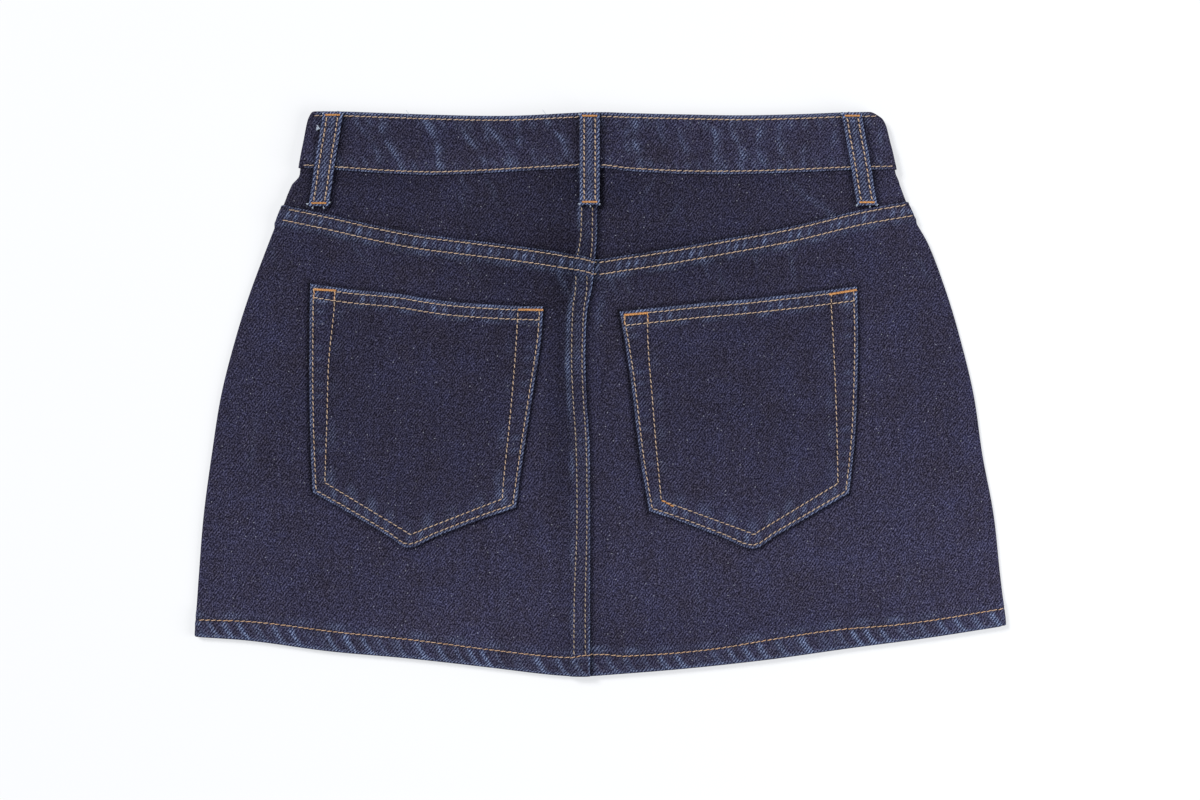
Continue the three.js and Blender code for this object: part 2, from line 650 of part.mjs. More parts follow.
// Cuts the buttonhole through the two walls of the waistband's left end.
const wasm = await Module();
wasm.setup();
function toManifold(geometry) {
  const bare = geometry.clone();
  bare.deleteAttribute("normal");
  bare.deleteAttribute("uv");
  const merged = mergeVertices(bare, 1e-4);
  return new wasm.Manifold(
    new wasm.Mesh({
      numProp: 3,
      vertProperties: merged.attributes.position.array,
      triVerts: new Uint32Array(merged.index.array),
    }),
  );
}
function withButtonhole(band, place) {
  const top = REST + BAND_STACK + GAP / 2;
  const cutter = new THREE.BoxGeometry(BUTTONHOLE.length, BUTTONHOLE.width, top);
  cutter.translate(place.x, place.y, top / 2);
  const { vertProperties, triVerts } = toManifold(band).subtract(toManifold(cutter)).getMesh();
  return solid([...vertProperties], [...triVerts]);
}

// The skirt, one named mesh a piece
const DENIM = new THREE.Color("#363448");
const finish = (shade) =>
  new THREE.MeshStandardMaterial({ color: DENIM.clone().offsetHSL(0, 0, shade), roughness: 0.9 });
const brass = new THREE.MeshStandardMaterial({ color: "#8c6f4c", roughness: 0.4, metalness: 0.9 });
const skirt = new THREE.Group();
function add(name, geometry, material) {
  const mesh = new THREE.Mesh(geometry, material);
  mesh.name = name;
  skirt.add(mesh);
  return mesh;
}

for (const [name, side] of [["left", -1], ["right", 1]]) {
  add(`back_panel_${name}`, backPanel(side), finish(0));
  add(`back_yoke_${name}`, backYoke(side), finish(-0.02));
  add(`back_pocket_${name}`, pocket(POCKETS[name]), finish(-0.01));
  add(`front_panel_${name}`, frontPanel(side), finish(0));
}
add("fly_shield", flyShield(), finish(0));
for (const loop of LOOPS) add(loop.name, backLoop(loop), finish(0.03));
for (const loop of FRONT_LOOPS) add(loop.name, frontLoop(loop), finish(0.03));
const buttonPlace = { x: BUTTON.x, y: bandBottom(BUTTON.x, true) + BUTTON.above };
add("waistband", withButtonhole(waistband(), buttonPlace), finish(0.02));
add("waist_button", waistButton(), brass).position.set(buttonPlace.x, buttonPlace.y, 0);

export default skirt;
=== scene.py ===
# %% [markdown]
# # A denim mini skirt, laid flat with its back up
#
# The skirt lies on a white table, seen from straight above. Its solids are already there, in the
# frame that the first cell loads. This file gives each of them its cloth: a wall of denim on the
# solid's own form, with the puckers, the worn edges, the weave and every single stitch.

# %% Load the frame
import math

import bpy
import numpy as np
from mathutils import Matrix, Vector


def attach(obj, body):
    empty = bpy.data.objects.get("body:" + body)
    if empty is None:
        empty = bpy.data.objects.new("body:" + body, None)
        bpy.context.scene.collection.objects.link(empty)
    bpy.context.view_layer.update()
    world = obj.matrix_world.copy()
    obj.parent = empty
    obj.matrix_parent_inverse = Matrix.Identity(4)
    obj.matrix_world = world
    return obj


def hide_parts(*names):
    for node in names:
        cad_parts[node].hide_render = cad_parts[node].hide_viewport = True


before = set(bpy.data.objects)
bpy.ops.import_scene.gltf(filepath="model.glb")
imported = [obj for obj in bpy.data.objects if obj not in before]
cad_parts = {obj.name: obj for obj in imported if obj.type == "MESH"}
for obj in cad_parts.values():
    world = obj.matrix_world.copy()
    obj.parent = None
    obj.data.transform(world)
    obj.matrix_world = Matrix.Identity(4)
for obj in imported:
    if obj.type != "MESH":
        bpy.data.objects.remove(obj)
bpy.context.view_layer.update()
MM = 0.001

# %% [markdown]
# ## Sizes
#
# A garment is easiest to build in the units that it is sewn in, so everything here is in
# millimetres, and a mesh is turned into metres when it is made. The tables say where the outline
# and the seams run. They are short, and a smooth curve through their rows gives the rest.

# %% Layers of cloth
# A stack is layers that are sewn together, and the air is what lies between the back and the front
CLOTH = 1.0
GAP = 0.3
LAYER = CLOTH + GAP
TURNED = 1.3
LOOP_CLOTH = 1.6
LOOP_END_CLOTH = 2.4
BAND_STACK = 2 * CLOTH + GAP
HEM_STACK = LAYER + TURNED
REST = LOOP_CLOTH + GAP
AIR = 1.0
BAND_AIR = 0.4

# %% Seam widths
# A depth or an end is a distance from the seam, and a fade is the distance over which it dies away
FELL, FADE, LAP_CLEAR = 10.5, 4.0, 0.6
HEM_DEPTH, HEM_STEP, HEM_FADE = 12.4, 0.8, 6.0
SEAM_DEPTH, SEAM_FADE = 11.0, 6.0
DIP_START, DIP_END = 8.0, 2.0
SIDE_SEAM_INSET = 8.0
REST_END, REST_FADE = 26.0, 36.0
SLOPE_START, SLOPE_END = 14.0, 74.0
FRONT_DIP, HALF_WAIST = 8.0, 180.0
FRONT_HEM_RISE, HALF_HEM = 4.0, 250.0
UNDERLAP, LAP_RAMP = 35.0, 12.0


# %% Tables
def table(names, rows):
    """Columns of numbers by name, from rows of numbers."""
    return dict(zip(names.split(), np.array(rows, float).T))


SIDES = table("y left right", [
    (-149, -252, 252.5), (-112, -249.5, 248), (-75, -246.5, 244), (-37.5, -241.5, 237),
    (0, -235.5, 231.5), (37, -226, 222.5), (65, -217, 214), (92.5, -206.5, 203.5),
    (111, -199, 193), (129.5, -191.5, 185.5), (134, -187.8, 184.5), (139, -187.5, 183.5),
    (158, -184, 179), (170, -181.5, 175), (175, -179, 168),
])
HEM = table("x y", [
    (-252, -150.5), (-217, -153), (-168, -159.5), (-118, -164), (-69, -169.5), (-31, -174),
    (-12, -175), (6, -174), (55, -170), (105, -164.5), (155, -157.5), (204, -151), (252, -143.5),
])
BAND = table("x top bottom", [
    (-188, 175, 140), (-162, 175, 138.5), (-133, 174, 136.5), (-104, 173, 135.5),
    (-75, 172.3, 136.5), (-49, 172.3, 137.8), (-14, 174, 139.6), (1, 174.3, 139.6),
    (17, 173.8, 137.8), (50, 173.2, 136.2), (85, 172.6, 136), (119, 173.2, 137),
    (154, 174.5, 138.5), (184, 174.8, 139),
])
YOKE = table("x y", [
    (-197, 117), (-166, 110.5), (-140, 104.5), (-114, 99.5), (-88, 96.2), (-62, 93), (-36, 89.5),
    (-10, 85.2), (-3, 83.4), (14, 85.7), (36, 89), (78, 96.3), (119, 104), (161, 114),
    (192, 119.5),
])
CENTRE_SEAM = table("y x", [
    (-175, -6.6), (-53, -6.6), (-27, -7.1), (-5, -8.5), (19, -9.5), (42, -9.1), (54, -8),
    (66, -5.4), (82, -3.7), (98, -2.3), (175, -2.3),
])
BULGE = table("below height", [(-40, 2.6), (10, 2.6), (45, 1.6), (105, 0.9), (140, 0)])
BULGE_MIDDLE, BULGE_FLAT, BULGE_END = -15.0, 23.0, 65.0
SWELLS = table("x y angle long wide height", [
    (-30, 30, 84, 60, 16, -0.5), (22, 0, 94, 80, 14, -0.35), (-75, 112, 28, 55, 15, -0.4),
    (70, 112, -28, 55, 15, -0.4), (-205, 20, 72, 80, 22, 0.5), (200, 0, -74, 85, 22, 0.5),
    (-112, -128, 80, 34, 16, 0.5), (95, -126, -76, 34, 18, 0.5), (-205, -100, 60, 60, 20, -0.4),
    (190, -100, -50, 60, 20, -0.4),
])
print("tables read")


# %% Curves through the tables
def mix(a, b, t):
    """A straight blend from a to b."""
    return a + (b - a) * t


def ramp(value, start, end):
    """0 before start, 1 after end, and a smooth S between them: 3t squared less 2t cubed."""
    t = np.clip((value - start) / (end - start), 0, 1)
    return t * t * (3 - 2 * t)


def bell(value, width):
    """A soft hill: e to the power of minus the square of value over width."""
    return np.exp(-((value / width) ** 2))


def from_line(x, y, cx, cy, angle):
    """Distances along and across a line through a point, at an angle in degrees."""
    c, s = math.cos(math.radians(angle)), math.sin(math.radians(angle))
    return (x - cx) * c + (y - cy) * s, (y - cy) * c - (x - cx) * s


def read(rows, by, name, at):
    """A smooth curve through a table's rows: a cubic between two rows, whose slope at each row is
    that of the line between its two neighbours."""
    key, value = rows[by], rows[name]
    after = np.minimum(np.arange(len(key)) + 1, len(key) - 1)
    before = np.maximum(np.arange(len(key)) - 1, 0)
    slope = (value[after] - value[before]) / (key[after] - key[before])
    at = np.asarray(at, float)
    i = np.clip(np.searchsorted(key, at) - 1, 0, len(key) - 2)
    span = key[i + 1] - key[i]
    t = np.clip((at - key[i]) / span, 0, 1)
    bend = t * t * (3 - 2 * t)
    leave = t * (1 - t) ** 2 * span * slope[i]
    arrive = t * t * (t - 1) * span * slope[i + 1]
    return mix(value[i], value[i + 1], bend) + leave + arrive


def edge(side, y):
    """The skirt's left or right outline."""
    return read(SIDES, "y", "left" if side < 0 else "right", y)


def centre_share(x, half):
    """1 in the middle, and 0 from half a width on: one less the square of the share."""
    return 1 - np.minimum(1, (x / half) ** 2)


def band_bottom(x, front=0.0):
    """The waistband's lower edge, which dips at the middle of the front."""
    return read(BAND, "x", "bottom", x) - FRONT_DIP * centre_share(x, HALF_WAIST) * front


def band_top(x, front=0.0):
    """The waistband's upper edge, with the same dip."""
    return read(BAND, "x", "top", x) - FRONT_DIP * centre_share(x, HALF_WAIST) * front


def hem(x, front=0.0):
    """The hem's folded edge, which lies a little higher at the middle of the front."""
    return read(HEM, "x", "y", x) + FRONT_HEM_RISE * centre_share(x, HALF_HEM) * front


def yoke(x, front=0.0):
    """The V of the yoke seam: the folded edge of the panels. The front has none."""
    return read(YOKE, "x", "y", x)


def centre_seam(y):
    """The centre seam's lapped edge."""
    return read(CENTRE_SEAM, "y", "x", y)


def shifted(curve, up):
    """A curve moved up."""
    return lambda x, front=0.0: curve(x, front) + up


# %% [markdown]
# ## How the layers lie
#
# The front of the skirt lies on the table and the back lies on the front. So one height field
# carries everything on the back: it is level behind the waistband, which the front belt loops and
# the button hold off the table, and low over the body. Each piece then adds the layers that are
# under it there. That way a pocket follows its panel, and a stitch follows its pocket.


# %% Height of the front and of the back
def band_stack(above, plump=1.0):
    """The waistband's thickness: two layers, and the seam's own layer more near its lower edge."""
    return BAND_STACK + plump * LAYER * (1 - ramp(above, SEAM_DEPTH, SEAM_DEPTH + SEAM_FADE))


def in_band(above):
    """1 under the waistband and 0 below its dip, by the height above its lower edge."""
    return ramp(above, -DIP_START, -DIP_END)


def in_hem(above):
    """1 in the hem and 0 above it, by the height above its folded edge."""
    return 1 - ramp(above, HEM_DEPTH + HEM_STEP, HEM_DEPTH + HEM_FADE)


def cover(x, y, front=0.0):
    """The thickness of the cloth on one side of the skirt."""
    above = y - band_bottom(x, front)
    band = (band_stack(above) - CLOTH) * in_band(above)
    return CLOTH + band + (HEM_STACK - CLOTH) * in_hem(y - hem(x, front))


def front_outer(x, y):
    """How far the front's outer face is held off the table."""
    return REST * (1 - ramp(band_bottom(x, 1.0) - y, REST_END, REST_END + REST_FADE))


def front_base(x, y):
    """The front's inner face."""
    return front_outer(x, y) + cover(x, y, 1.0)


def back_base(x, y):
    """The back's inner face: a slope from the waistband's height down to the body's, plus the
    closure's bulge, the thicker hem, and a bell for each swell."""
    below = band_bottom(x) - y
    waist = REST + band_stack(0.0) + BAND_AIR
    body = CLOTH + AIR
    z = mix(waist, body, ramp(below, SLOPE_START, SLOPE_END))
    thicker = HEM_STACK + BAND_AIR - body
    z = z + thicker * (1 - ramp(y - hem(x), HEM_DEPTH + HEM_STEP, 2 * HEM_DEPTH))
    aside = 1 - ramp(np.abs(x - BULGE_MIDDLE), BULGE_FLAT, BULGE_END)
    z = z + read(BULGE, "below", "height", below) * aside
    for cx, cy, angle, long, wide, height in zip(*SWELLS.values()):
        along, off = from_line(x, y, cx, cy, angle)
        z = z + height * bell(along, long) * bell(off, wide)
    return z


def fold(side, y):
    """The side fold: the middle of its round, and the radius of its inner face."""
    x = edge(side, y)
    low, high = front_base(x, y), back_base(x, y)
    inner = (high - low) / 2
    return x - side * (inner + cover(x, y)), (low + high) / 2, inner


print("height of the back at the waist and at the hem:",
      round(float(back_base(0.0, 150.0)), 2), round(float(back_base(0.0, -165.0)), 2))

# %% [markdown]
# ## Uneven, but the same each time
#
# Real puckers are never evenly spaced. A sum of a few waves with unrelated lengths looks random and
# needs no random numbers at all, so the skirt comes out the same on every run.


# %% Waves that look random
def wander(s, length, seed=0.0):
    """Three sine waves of unrelated lengths, added up: about -1 to 1."""
    a = np.sin(2 * np.pi * s / length + seed * 1.7)
    b = np.sin(2 * np.pi * s / (length * 1.618) + seed * 3.1 + 1.0)
    c = np.sin(2 * np.pi * s / (length * 0.731) + seed * 5.3 + 2.0)
    return (a + 0.8 * b + 0.6 * c) / 1.7


def pleat(s, pitch, seed=0.0, drift=0.22, sharp=1.5):
    """Ridges along s, one to each pitch, whose spacing and strength both wander: 0 to 1. The
    cosine's hills are raised to a power, which makes them narrow and the hollows wide."""
    phase = s / pitch + drift * wander(s, pitch * 7.3, seed)
    ridge = 0.5 + 0.5 * np.cos(2 * np.pi * phase)
    return ridge**sharp * np.clip(0.6 + 0.5 * wander(s, pitch * 3.7, seed + 4.0), 0, 1)


# %% [markdown]
# ## Seams press the cloth
#
# A row of stitches pulls a groove into the cloth. Between two rows the shrunken seam buckles into
# small ridges, and the dye wears off on top of them. So each seam gives two things: a relief in
# millimetres, and a wear between 0 and 1, which the material reads later as paler threads.

# %% Where the rows of stitches run
UPPER_ROW, LOWER_ROW = 1.9, 9.2
BAND_TOP_ROW, BAND_LOW_ROW = 2.8, 1.9
CENTRE_ROWS = table("y left right", [
    (-175, -10.0, -2.8), (-127, -9.8, -3.0), (-81, -8.2, -2.0), (-27, -8.4, -2.1),
    (10, -8.5, -2.1), (46, -8.7, -2.0), (60, -9.6, -2.6), (78, -11.2, -4.2), (86, -11.0, -2.8),
    (100, -9.9, -2.9), (120, -9.6, -2.9),
])
HEM_ROW = table("x up", [
    (-250, 10.8), (-191, 12.6), (-125, 12.0), (-69, 11.2), (-25, 11.5), (-17, 12.0), (-11, 13.3),
    (2, 13.0), (15, 11.0), (67, 10.5), (106, 12.4), (141, 12.8), (186, 10.8), (251, 11.0),
])
GROOVE_DEPTH, GROOVE_WIDTH = 0.3, 0.75
NEAR_SEAM, FAR = 60.0, 99.0


def from_seam(side, x, y):
    """The place across the centre seam. Well away from the seam, the side alone counts."""
    return np.where(np.abs(x) < NEAR_SEAM, x - centre_seam(y), side * FAR)


def groove(distance):
    """A row of stitches presses the cloth down: a bell across the row."""
    return -GROOVE_DEPTH * bell(distance, GROOVE_WIDTH)


# %% Relief and wear of the back panels and yokes
def hump(offset):
    """How far the felled centre seam stands up, by the place across it."""
    return ramp(offset, -FELL - FADE, -FELL) * (1 - ramp(offset, LAP_CLEAR, LAP_CLEAR + FADE))


def yoke_seam(x, y):
    """Relief and wear of the lap over the yoke: grooves at its two rows, ridges between them that
    fade out below, and a pale folded edge."""
    d = yoke(x) - y
    ridges = pleat(x + 0.25 * d, 5.7, 1.0, 0.22, 2.2)
    between = bell(d - (UPPER_ROW + LOWER_ROW) / 2, 2.6)
    below = bell(d - LOWER_ROW - 2.4, 1.7)
    relief = groove(d - UPPER_ROW) + groove(d - LOWER_ROW) + 0.36 * ridges * between
    relief = relief + 0.22 * pleat(x, 6.3, 2.0) * below
    wear = 0.7 * bell(d, 0.8) * (0.65 + 0.35 * wander(x, 23.0, 2.0))
    wear = wear + (0.9 * ridges + 0.06) * between
    wear = wear + (0.05 + 0.35 * wander(x, 41.0, 5.0) ** 2 + 0.28 * pleat(x, 6.3, 2.0)) * below
    return relief, wear * (d > -1.0)


def centre_seam_marks(side, x, y):
    """Relief and wear of the felled centre seam: grooves at its two rows, a worn edge, and pale
    blotches on the ridge."""
    offset = x - centre_seam(y)
    left, right = read(CENTRE_ROWS, "y", "left", y), read(CENTRE_ROWS, "y", "right", y)
    on_lap = (side < 0) * (offset < 0.5)
    relief = (groove(offset - left) + groove(offset - right)) * on_lap
    ridges = pleat(y, 7.1, 5.0)
    middle = bell(offset - (left + right) / 2, 2.2)
    relief = relief + 0.18 * ridges * middle * on_lap
    long_wear = 0.42 + 0.25 * wander(y, 61.0, 3.0) + 0.40 * bell(y - 36, 24)
    wear = (1.4 * bell(offset, 0.9) + 0.42 * middle * (0.3 + 0.7 * ridges)) * long_wear
    beside = 0.14 + 0.18 * wander(y, 31.0, 6.0) + 0.40 * bell(y - 28, 30)
    wear = wear + beside * bell(offset + FELL + 0.5, 1.4)
    return relief, np.maximum(wear, 0) * on_lap


def hem_marks(x, y, front=0.0):
    """Relief and wear of the hem: a groove at its stitches, and the slanting ridges of a hem that
    has twisted, which run down to the right."""
    up = y - hem(x, front)
    row = read(HEM_ROW, "x", "up", x)
    slant = x + 0.62 * up + 1.2 * np.sin(up / 4.0)
    ridges = pleat(slant, 10.8, 7.0, 0.3, 4.5)
    small = pleat(slant, 4.1, 8.0, 0.35)
    on_hem = ramp(up, -0.5, 2.5) * (1 - ramp(up, row - 2.5, row))
    hollow = pleat(slant - 3.0, 10.8, 7.0, 0.3, 2.0)
    relief = groove(up - row) + (0.8 * ridges - 0.45 * hollow + 0.14 * small) * on_hem
    above = bell(up - row - 3.0, 2.3)
    relief = relief + 0.18 * pleat(x, 8.3, 9.0) * above
    wear = (1.1 * ridges + 0.2 * small + 0.04 - 0.2 * hollow) * on_hem * (1 - 0.4 * bell(x - 15, 60))
    wear = wear + 0.45 * bell(up - 1.0, 1.0) + (0.05 + 0.32 * pleat(x, 23.0, 4.0)) * above
    return relief, np.maximum(wear, 0)


# %% [markdown]
# The skirt has been worn, folded and pressed, so it is never quite flat. These creases are placed
# where the photo shows a dark hollow or a pale ridge. Each is a soft trough or ridge along a line,
# with its own length, width and depth.

# %% Creases placed one by one
CREASES = table("x y angle long wide height", [
    (-27, 38, 86, 34, 5, -0.55), (-21, 60, 82, 20, 4, -0.35), (-47, 123, 24, 34, 4.5, -0.5),
    (-70, 112, 34, 26, 5, -0.4), (46, 122, -26, 30, 4.5, -0.45), (78, 112, -36, 26, 5, -0.35),
    (28, 118, -62, 18, 4, -0.35), (-30, 118, 60, 17, 4, -0.3), (110, 126, -16, 30, 4, -0.35),
    (-118, 124, 14, 34, 4, -0.35), (-205, 45, 64, 40, 5, 0.45), (-214, 5, 74, 36, 4.5, -0.4),
    (-222, -48, 70, 42, 6, 0.4), (208, 40, -66, 42, 5, 0.45), (214, -12, -76, 38, 5, -0.4),
    (224, -66, -66, 44, 6, 0.45), (-150, -112, 24, 44, 6, -0.4), (-96, -132, 74, 24, 5, 0.4),
    (-60, -118, 62, 30, 6, -0.35), (-36, -100, 82, 52, 5, 0.35), (60, -120, -70, 32, 6, -0.4),
    (112, -134, -64, 28, 5, 0.45), (160, -112, -32, 44, 7, 0.45), (206, -118, -24, 34, 6, -0.35),
    (8, -20, 90, 60, 4, -0.35), (16, 66, 76, 22, 4, 0.3),
])


def creases(x, y):
    """A bell across each line and another along it."""
    z = 0.35 * wander(x + 0.4 * y, 90.0, 1.0) * wander(y - 0.3 * x, 74.0, 2.0)
    for cx, cy, angle, long, wide, height in zip(*CREASES.values()):
        along, off = from_line(x, y, cx, cy, angle)
        off = off + 2.2 * wander(along, 47.0, cx)
        z = z + height * bell(along, long) * bell(off, wide)
    return z


# Short creases that have worn pale, in the panels and the yokes
PALE_CREASES = table("x y angle long wide strength", [
    (6.4, 70, -62, 8, 1.3, 0.30), (15.7, 70, -70, 8, 1.2, 0.24), (64.4, 80.5, -68, 7, 1.2, 0.26),
    (75, 71, -70, 7, 1.1, 0.18), (96, 85, -75, 7, 1.3, 0.2), (118.6, 80, -80, 9, 1.4, 0.24),
    (128, 122, -38, 16, 1.6, 0.22), (142, 113, -42, 10, 1.4, 0.2), (-85, 131, -60, 7, 1.4, 0.2),
    (-67.6, 127, -65, 8, 1.4, 0.22), (-86, 120, -66, 6, 1.3, 0.16), (-80.6, 78.3, -55, 8, 1.4, 0.2),
    (-25, 72, -62, 10, 1.6, 0.3), (-0.5, 52, 80, 12, 2.2, 0.22), (30, 128, 62, 9, 1.3, 0.16),
    (46, 114, 58, 8, 1.3, 0.14), (-150, 88, -48, 9, 1.4, 0.16), (-206, 92, -66, 12, 1.6, 0.18),
    (200, 78, -58, 10, 1.6, 0.18), (-216, -30, 82, 18, 1.8, 0.12), (-60, -128, 88, 14, 1.6, 0.12),
    (60, -124, -86, 14, 1.6, 0.12), (190, -118, 84, 12, 1.6, 0.12),
])


def pale_creases(x, y):
    """The wear of the short creases: a bell across each and another along it, made uneven."""
    wear = 0.0
    for cx, cy, angle, long, wide, strength in zip(*PALE_CREASES.values()):
        along, off = from_line(x, y, cx, cy, angle)
        off = off + 0.7 * wander(along, 11.0, cx)
        uneven = 0.75 + 0.25 * wander(along, 5.3, cy)
        wear = wear + strength * bell(along, long) * bell(off, wide) * uneven
    return wear


def back_height(x, y):
    """The back's inner face with its creases, which die away at the folds and under the band."""
    inside = 1 - ramp(np.abs(x), 196.0, 232.0)
    inside = inside * (1 - ramp(y - band_bottom(x), -12.0, 0.0)) * ramp(y - hem(x), 2.0, 24.0)
    return back_base(x, y) + creases(x, y) * inside


# %% [markdown]
# ## Columns and rows
#
# Each piece of the body is a sheet carried round the side fold: from the centre seam across the
# back, round the fold, and a little way under, to the side seam. A column is a place across it,
# and a row is a curve along it. The columns know how to find their x at any height, so a whole
# panel is worked out as one array.


# %% Columns
class Columns:
    """Places across the skirt, one to a column: a share of the way from the centre seam to the
    fold, then a turn round the fold, then a distance under it."""

    def __init__(self, side, start, share, turn, under, front=False):
        count = len(share) + len(turn) + len(under)
        zero = np.zeros(count)
        self.side, self.count, self.is_front = side, count, front
        self.start = (zero + start)[:, None]
        self.share = np.concatenate([share, [1.0] * (len(turn) + len(under))])[:, None]
        self.turn = np.concatenate([[0.0] * len(share), turn, [np.pi] * len(under)])[:, None]
        self.under = np.concatenate([[0.0] * (len(share) + len(turn)), under])[:, None]
        kinds = [2 if front else 0] * len(share) + [1] * len(turn) + [2] * len(under)
        self.kind = np.array(kinds)[:, None]
        self.front = (self.kind == 2) * 1.0

    def x(self, y):
        """The place of each column at the heights y."""
        middle = fold(self.side, y)[0]
        begin = self.start if self.is_front else centre_seam(y) + self.start
        inset = SIDE_SEAM_INSET + GAP if self.is_front else 0.0
        flat = mix(begin, middle - self.side * inset, self.share)
        flat = np.where(self.kind == 1, edge(self.side, y), flat)
        return np.where(self.under > 0, middle - self.side * self.under, flat)

    def facing(self):
        """1 where a column faces up, and down to 0 where it has turned to face the table."""
        return np.where(self.kind == 0, 1.0, np.where(self.kind == 1, (1 + np.cos(self.turn)) / 2, 0.0))

    def put(self, y, lift):
        """Points at the heights y, lifted off the inner face of their side of the skirt."""
        x = self.x(y)
        middle, z_fold, inner = fold(self.side, y)
        radius = inner + lift
        round_x = middle + self.side * radius * np.sin(self.turn)
        round_z = z_fold + radius * np.cos(self.turn)
        z_flat = np.where(self.kind == 2, front_base(x, y) - lift, back_height(x, y) + lift)
        px = np.where(self.kind == 1, round_x, x)
        pz = np.where(self.kind == 1, round_z, z_flat)
        return np.stack([px, y + 0 * px, pz], axis=-1)


def solve(columns, low, high, share):
    """The heights at which the columns meet the rows between two curves. A column's x depends on
    the height and the other way round, so a few rounds of substitution settle both."""
    y = np.zeros((columns.count, len(share)))
    for _ in range(7):
        x = columns.x(y)
        y = mix(low(x, columns.front), high(x, columns.front), share)
    return y


# %% [markdown]
# ## From arrays to meshes
#
# `foreach_set` takes whole numpy arrays, so a mesh of a hundred thousand faces is made in a moment.
# Every wall also carries three layers of data that its material reads: a UV map that follows the
# cloth's grain, how worn it is, and how dark it is, with its painted light and shade.


# %% Make a mesh
def make_object(name, points, faces, data=None, uv=None, smooth=True):
    """A mesh object from points in millimetres, arrays of faces with 3, 4 or more corners, values
    for each point, and a UV pair for each point."""
    mesh = bpy.data.meshes.new(name)
    corners = np.concatenate([f.ravel() for f in faces]).astype(np.int32)
    sizes = np.concatenate([np.full(len(f), f.shape[1]) for f in faces]).astype(np.int32)
    mesh.vertices.add(len(points))
    mesh.vertices.foreach_set("co", (points * MM).astype(np.float32).ravel())
    mesh.loops.add(len(corners))
    mesh.loops.foreach_set("vertex_index", corners)
    mesh.polygons.add(len(sizes))
    starts = np.concatenate([[0], np.cumsum(sizes)[:-1]]).astype(np.int32)
    mesh.polygons.foreach_set("loop_start", starts)
    mesh.polygons.foreach_set("use_smooth", np.full(len(sizes), smooth))
    if uv is not None:
        layer = mesh.uv_layers.new(name="grain")
        layer.data.foreach_set("uv", (uv[corners] * MM).astype(np.float32).ravel())
    for key, values in (data or {}).items():
        attribute = mesh.attributes.new(key, "FLOAT", "POINT")
        attribute.data.foreach_set("value", np.asarray(values, np.float32).ravel())
    mesh.update(calc_edges=True)
    mesh.validate()
    thing = bpy.data.objects.new(name, mesh)
    bpy.context.scene.collection.objects.link(thing)
    return thing


def turn_outwards(points, faces):
    """Faces turned round if the volume that they enclose comes out negative."""
    volume = 0.0
    for f in faces:
        for k in range(1, f.shape[1] - 1):
            a, b, c = points[f[:, 0]], points[f[:, k]], points[f[:, k + 1]]
            volume += np.einsum("ij,ij->i", a, np.cross(b, c)).sum()
    return [f[:, ::-1] for f in faces] if volume < 0 else faces


def grid_faces(columns, rows, first=0):
    """Four-cornered faces of a grid of points that is stored column by column."""
    c, r = np.meshgrid(np.arange(columns - 1), np.arange(rows - 1), indexing="ij")
    a = first + c * rows + r
    return np.stack([a, a + rows, a + rows + 1, a + 1], axis=-1).reshape(-1, 4)


def cloth_steps(points, axis):
    """Distances between neighbours, along the cloth. Seen from above they leave out the puckers,
    which would shear the weave, and where the cloth turns down they are the whole distance."""
    step = np.diff(points, axis=axis)
    plan, whole = np.hypot(step[..., 0], step[..., 1]), np.linalg.norm(step, axis=-1)
    return np.where(np.abs(step[..., 2]) > plan, whole, plan)


def wall_object(name, outer, inner, wear, tone, middle=0):
    """A closed wall between two grids of points, with its wear, its tone and its grain, which is
    measured along the cloth from the middle column, where it matches the place across the skirt."""
    columns, rows = outer.shape[:2]
    count = columns * rows
    points = np.concatenate([outer.reshape(-1, 3), inner.reshape(-1, 3)])
    index = np.arange(count).reshape(columns, rows)
    rim = np.concatenate([index[:, 0], index[-1, 1:], index[-2::-1, -1], index[0, -2:0:-1]])
    after = np.roll(rim, -1)
    sides = np.stack([rim, after, after + count, rim + count], axis=-1)
    faces = [grid_faces(columns, rows), grid_faces(columns, rows, count)[:, ::-1], sides[:, ::-1]]
    faces = turn_outwards(points, faces)
    along, down = cloth_steps(outer, 0), cloth_steps(outer, 1)
    u = np.concatenate([np.zeros((1, rows)), np.cumsum(along, axis=0)])
    u = (u - u[middle]) * np.sign(outer[middle + 1, 0, 0] - outer[middle, 0, 0]) + outer[middle, :, 0]
    v = np.concatenate([np.zeros((columns, 1)), np.cumsum(down, axis=1)], axis=1)
    v = outer[:, 0:1, 1] + v * np.sign(outer[middle, 1, 1] - outer[middle, 0, 1])
    uv = np.stack([u, v], axis=-1).reshape(-1, 2)
    data = {
        "wear": np.concatenate([wear.ravel(), np.zeros(count)]),
        "tone": np.concatenate([tone.ravel(), tone.ravel()]),
    }
    thing = make_object(name, points, faces, data, np.concatenate([uv, uv]))
    triangles = sum(len(f) * (f.shape[1] - 2) for f in faces)
    print(name, triangles, "triangles")
    return thing


# %% Spacing
def stops(length, step, fine_start=0.0, fine_end=0.0):
    """Shares from 0 to 1 about a step apart. A fine end starts with a few close stops, which make
    a rounded edge of that radius."""
    count = max(2, int(round(length / step)))
    even = np.linspace(0, length, count + 1)
    close = np.array([0.0, 0.07, 0.25, 0.55, 1.0])
    if fine_start:
        even = np.concatenate([close * fine_start, even[even > fine_start * 1.2]])
    if fine_end:
        even = np.concatenate([even[even < length - fine_end * 1.2], length - close[::-1] * fine_end])
    return even / length


def rounding(distance, radius):
    """How far a rounded edge has come in from the face, from 0 to 1, a quarter circle."""
    t = np.clip(1 - distance / radius, 0, 1)
    return 1 - np.sqrt(1 - t * t)
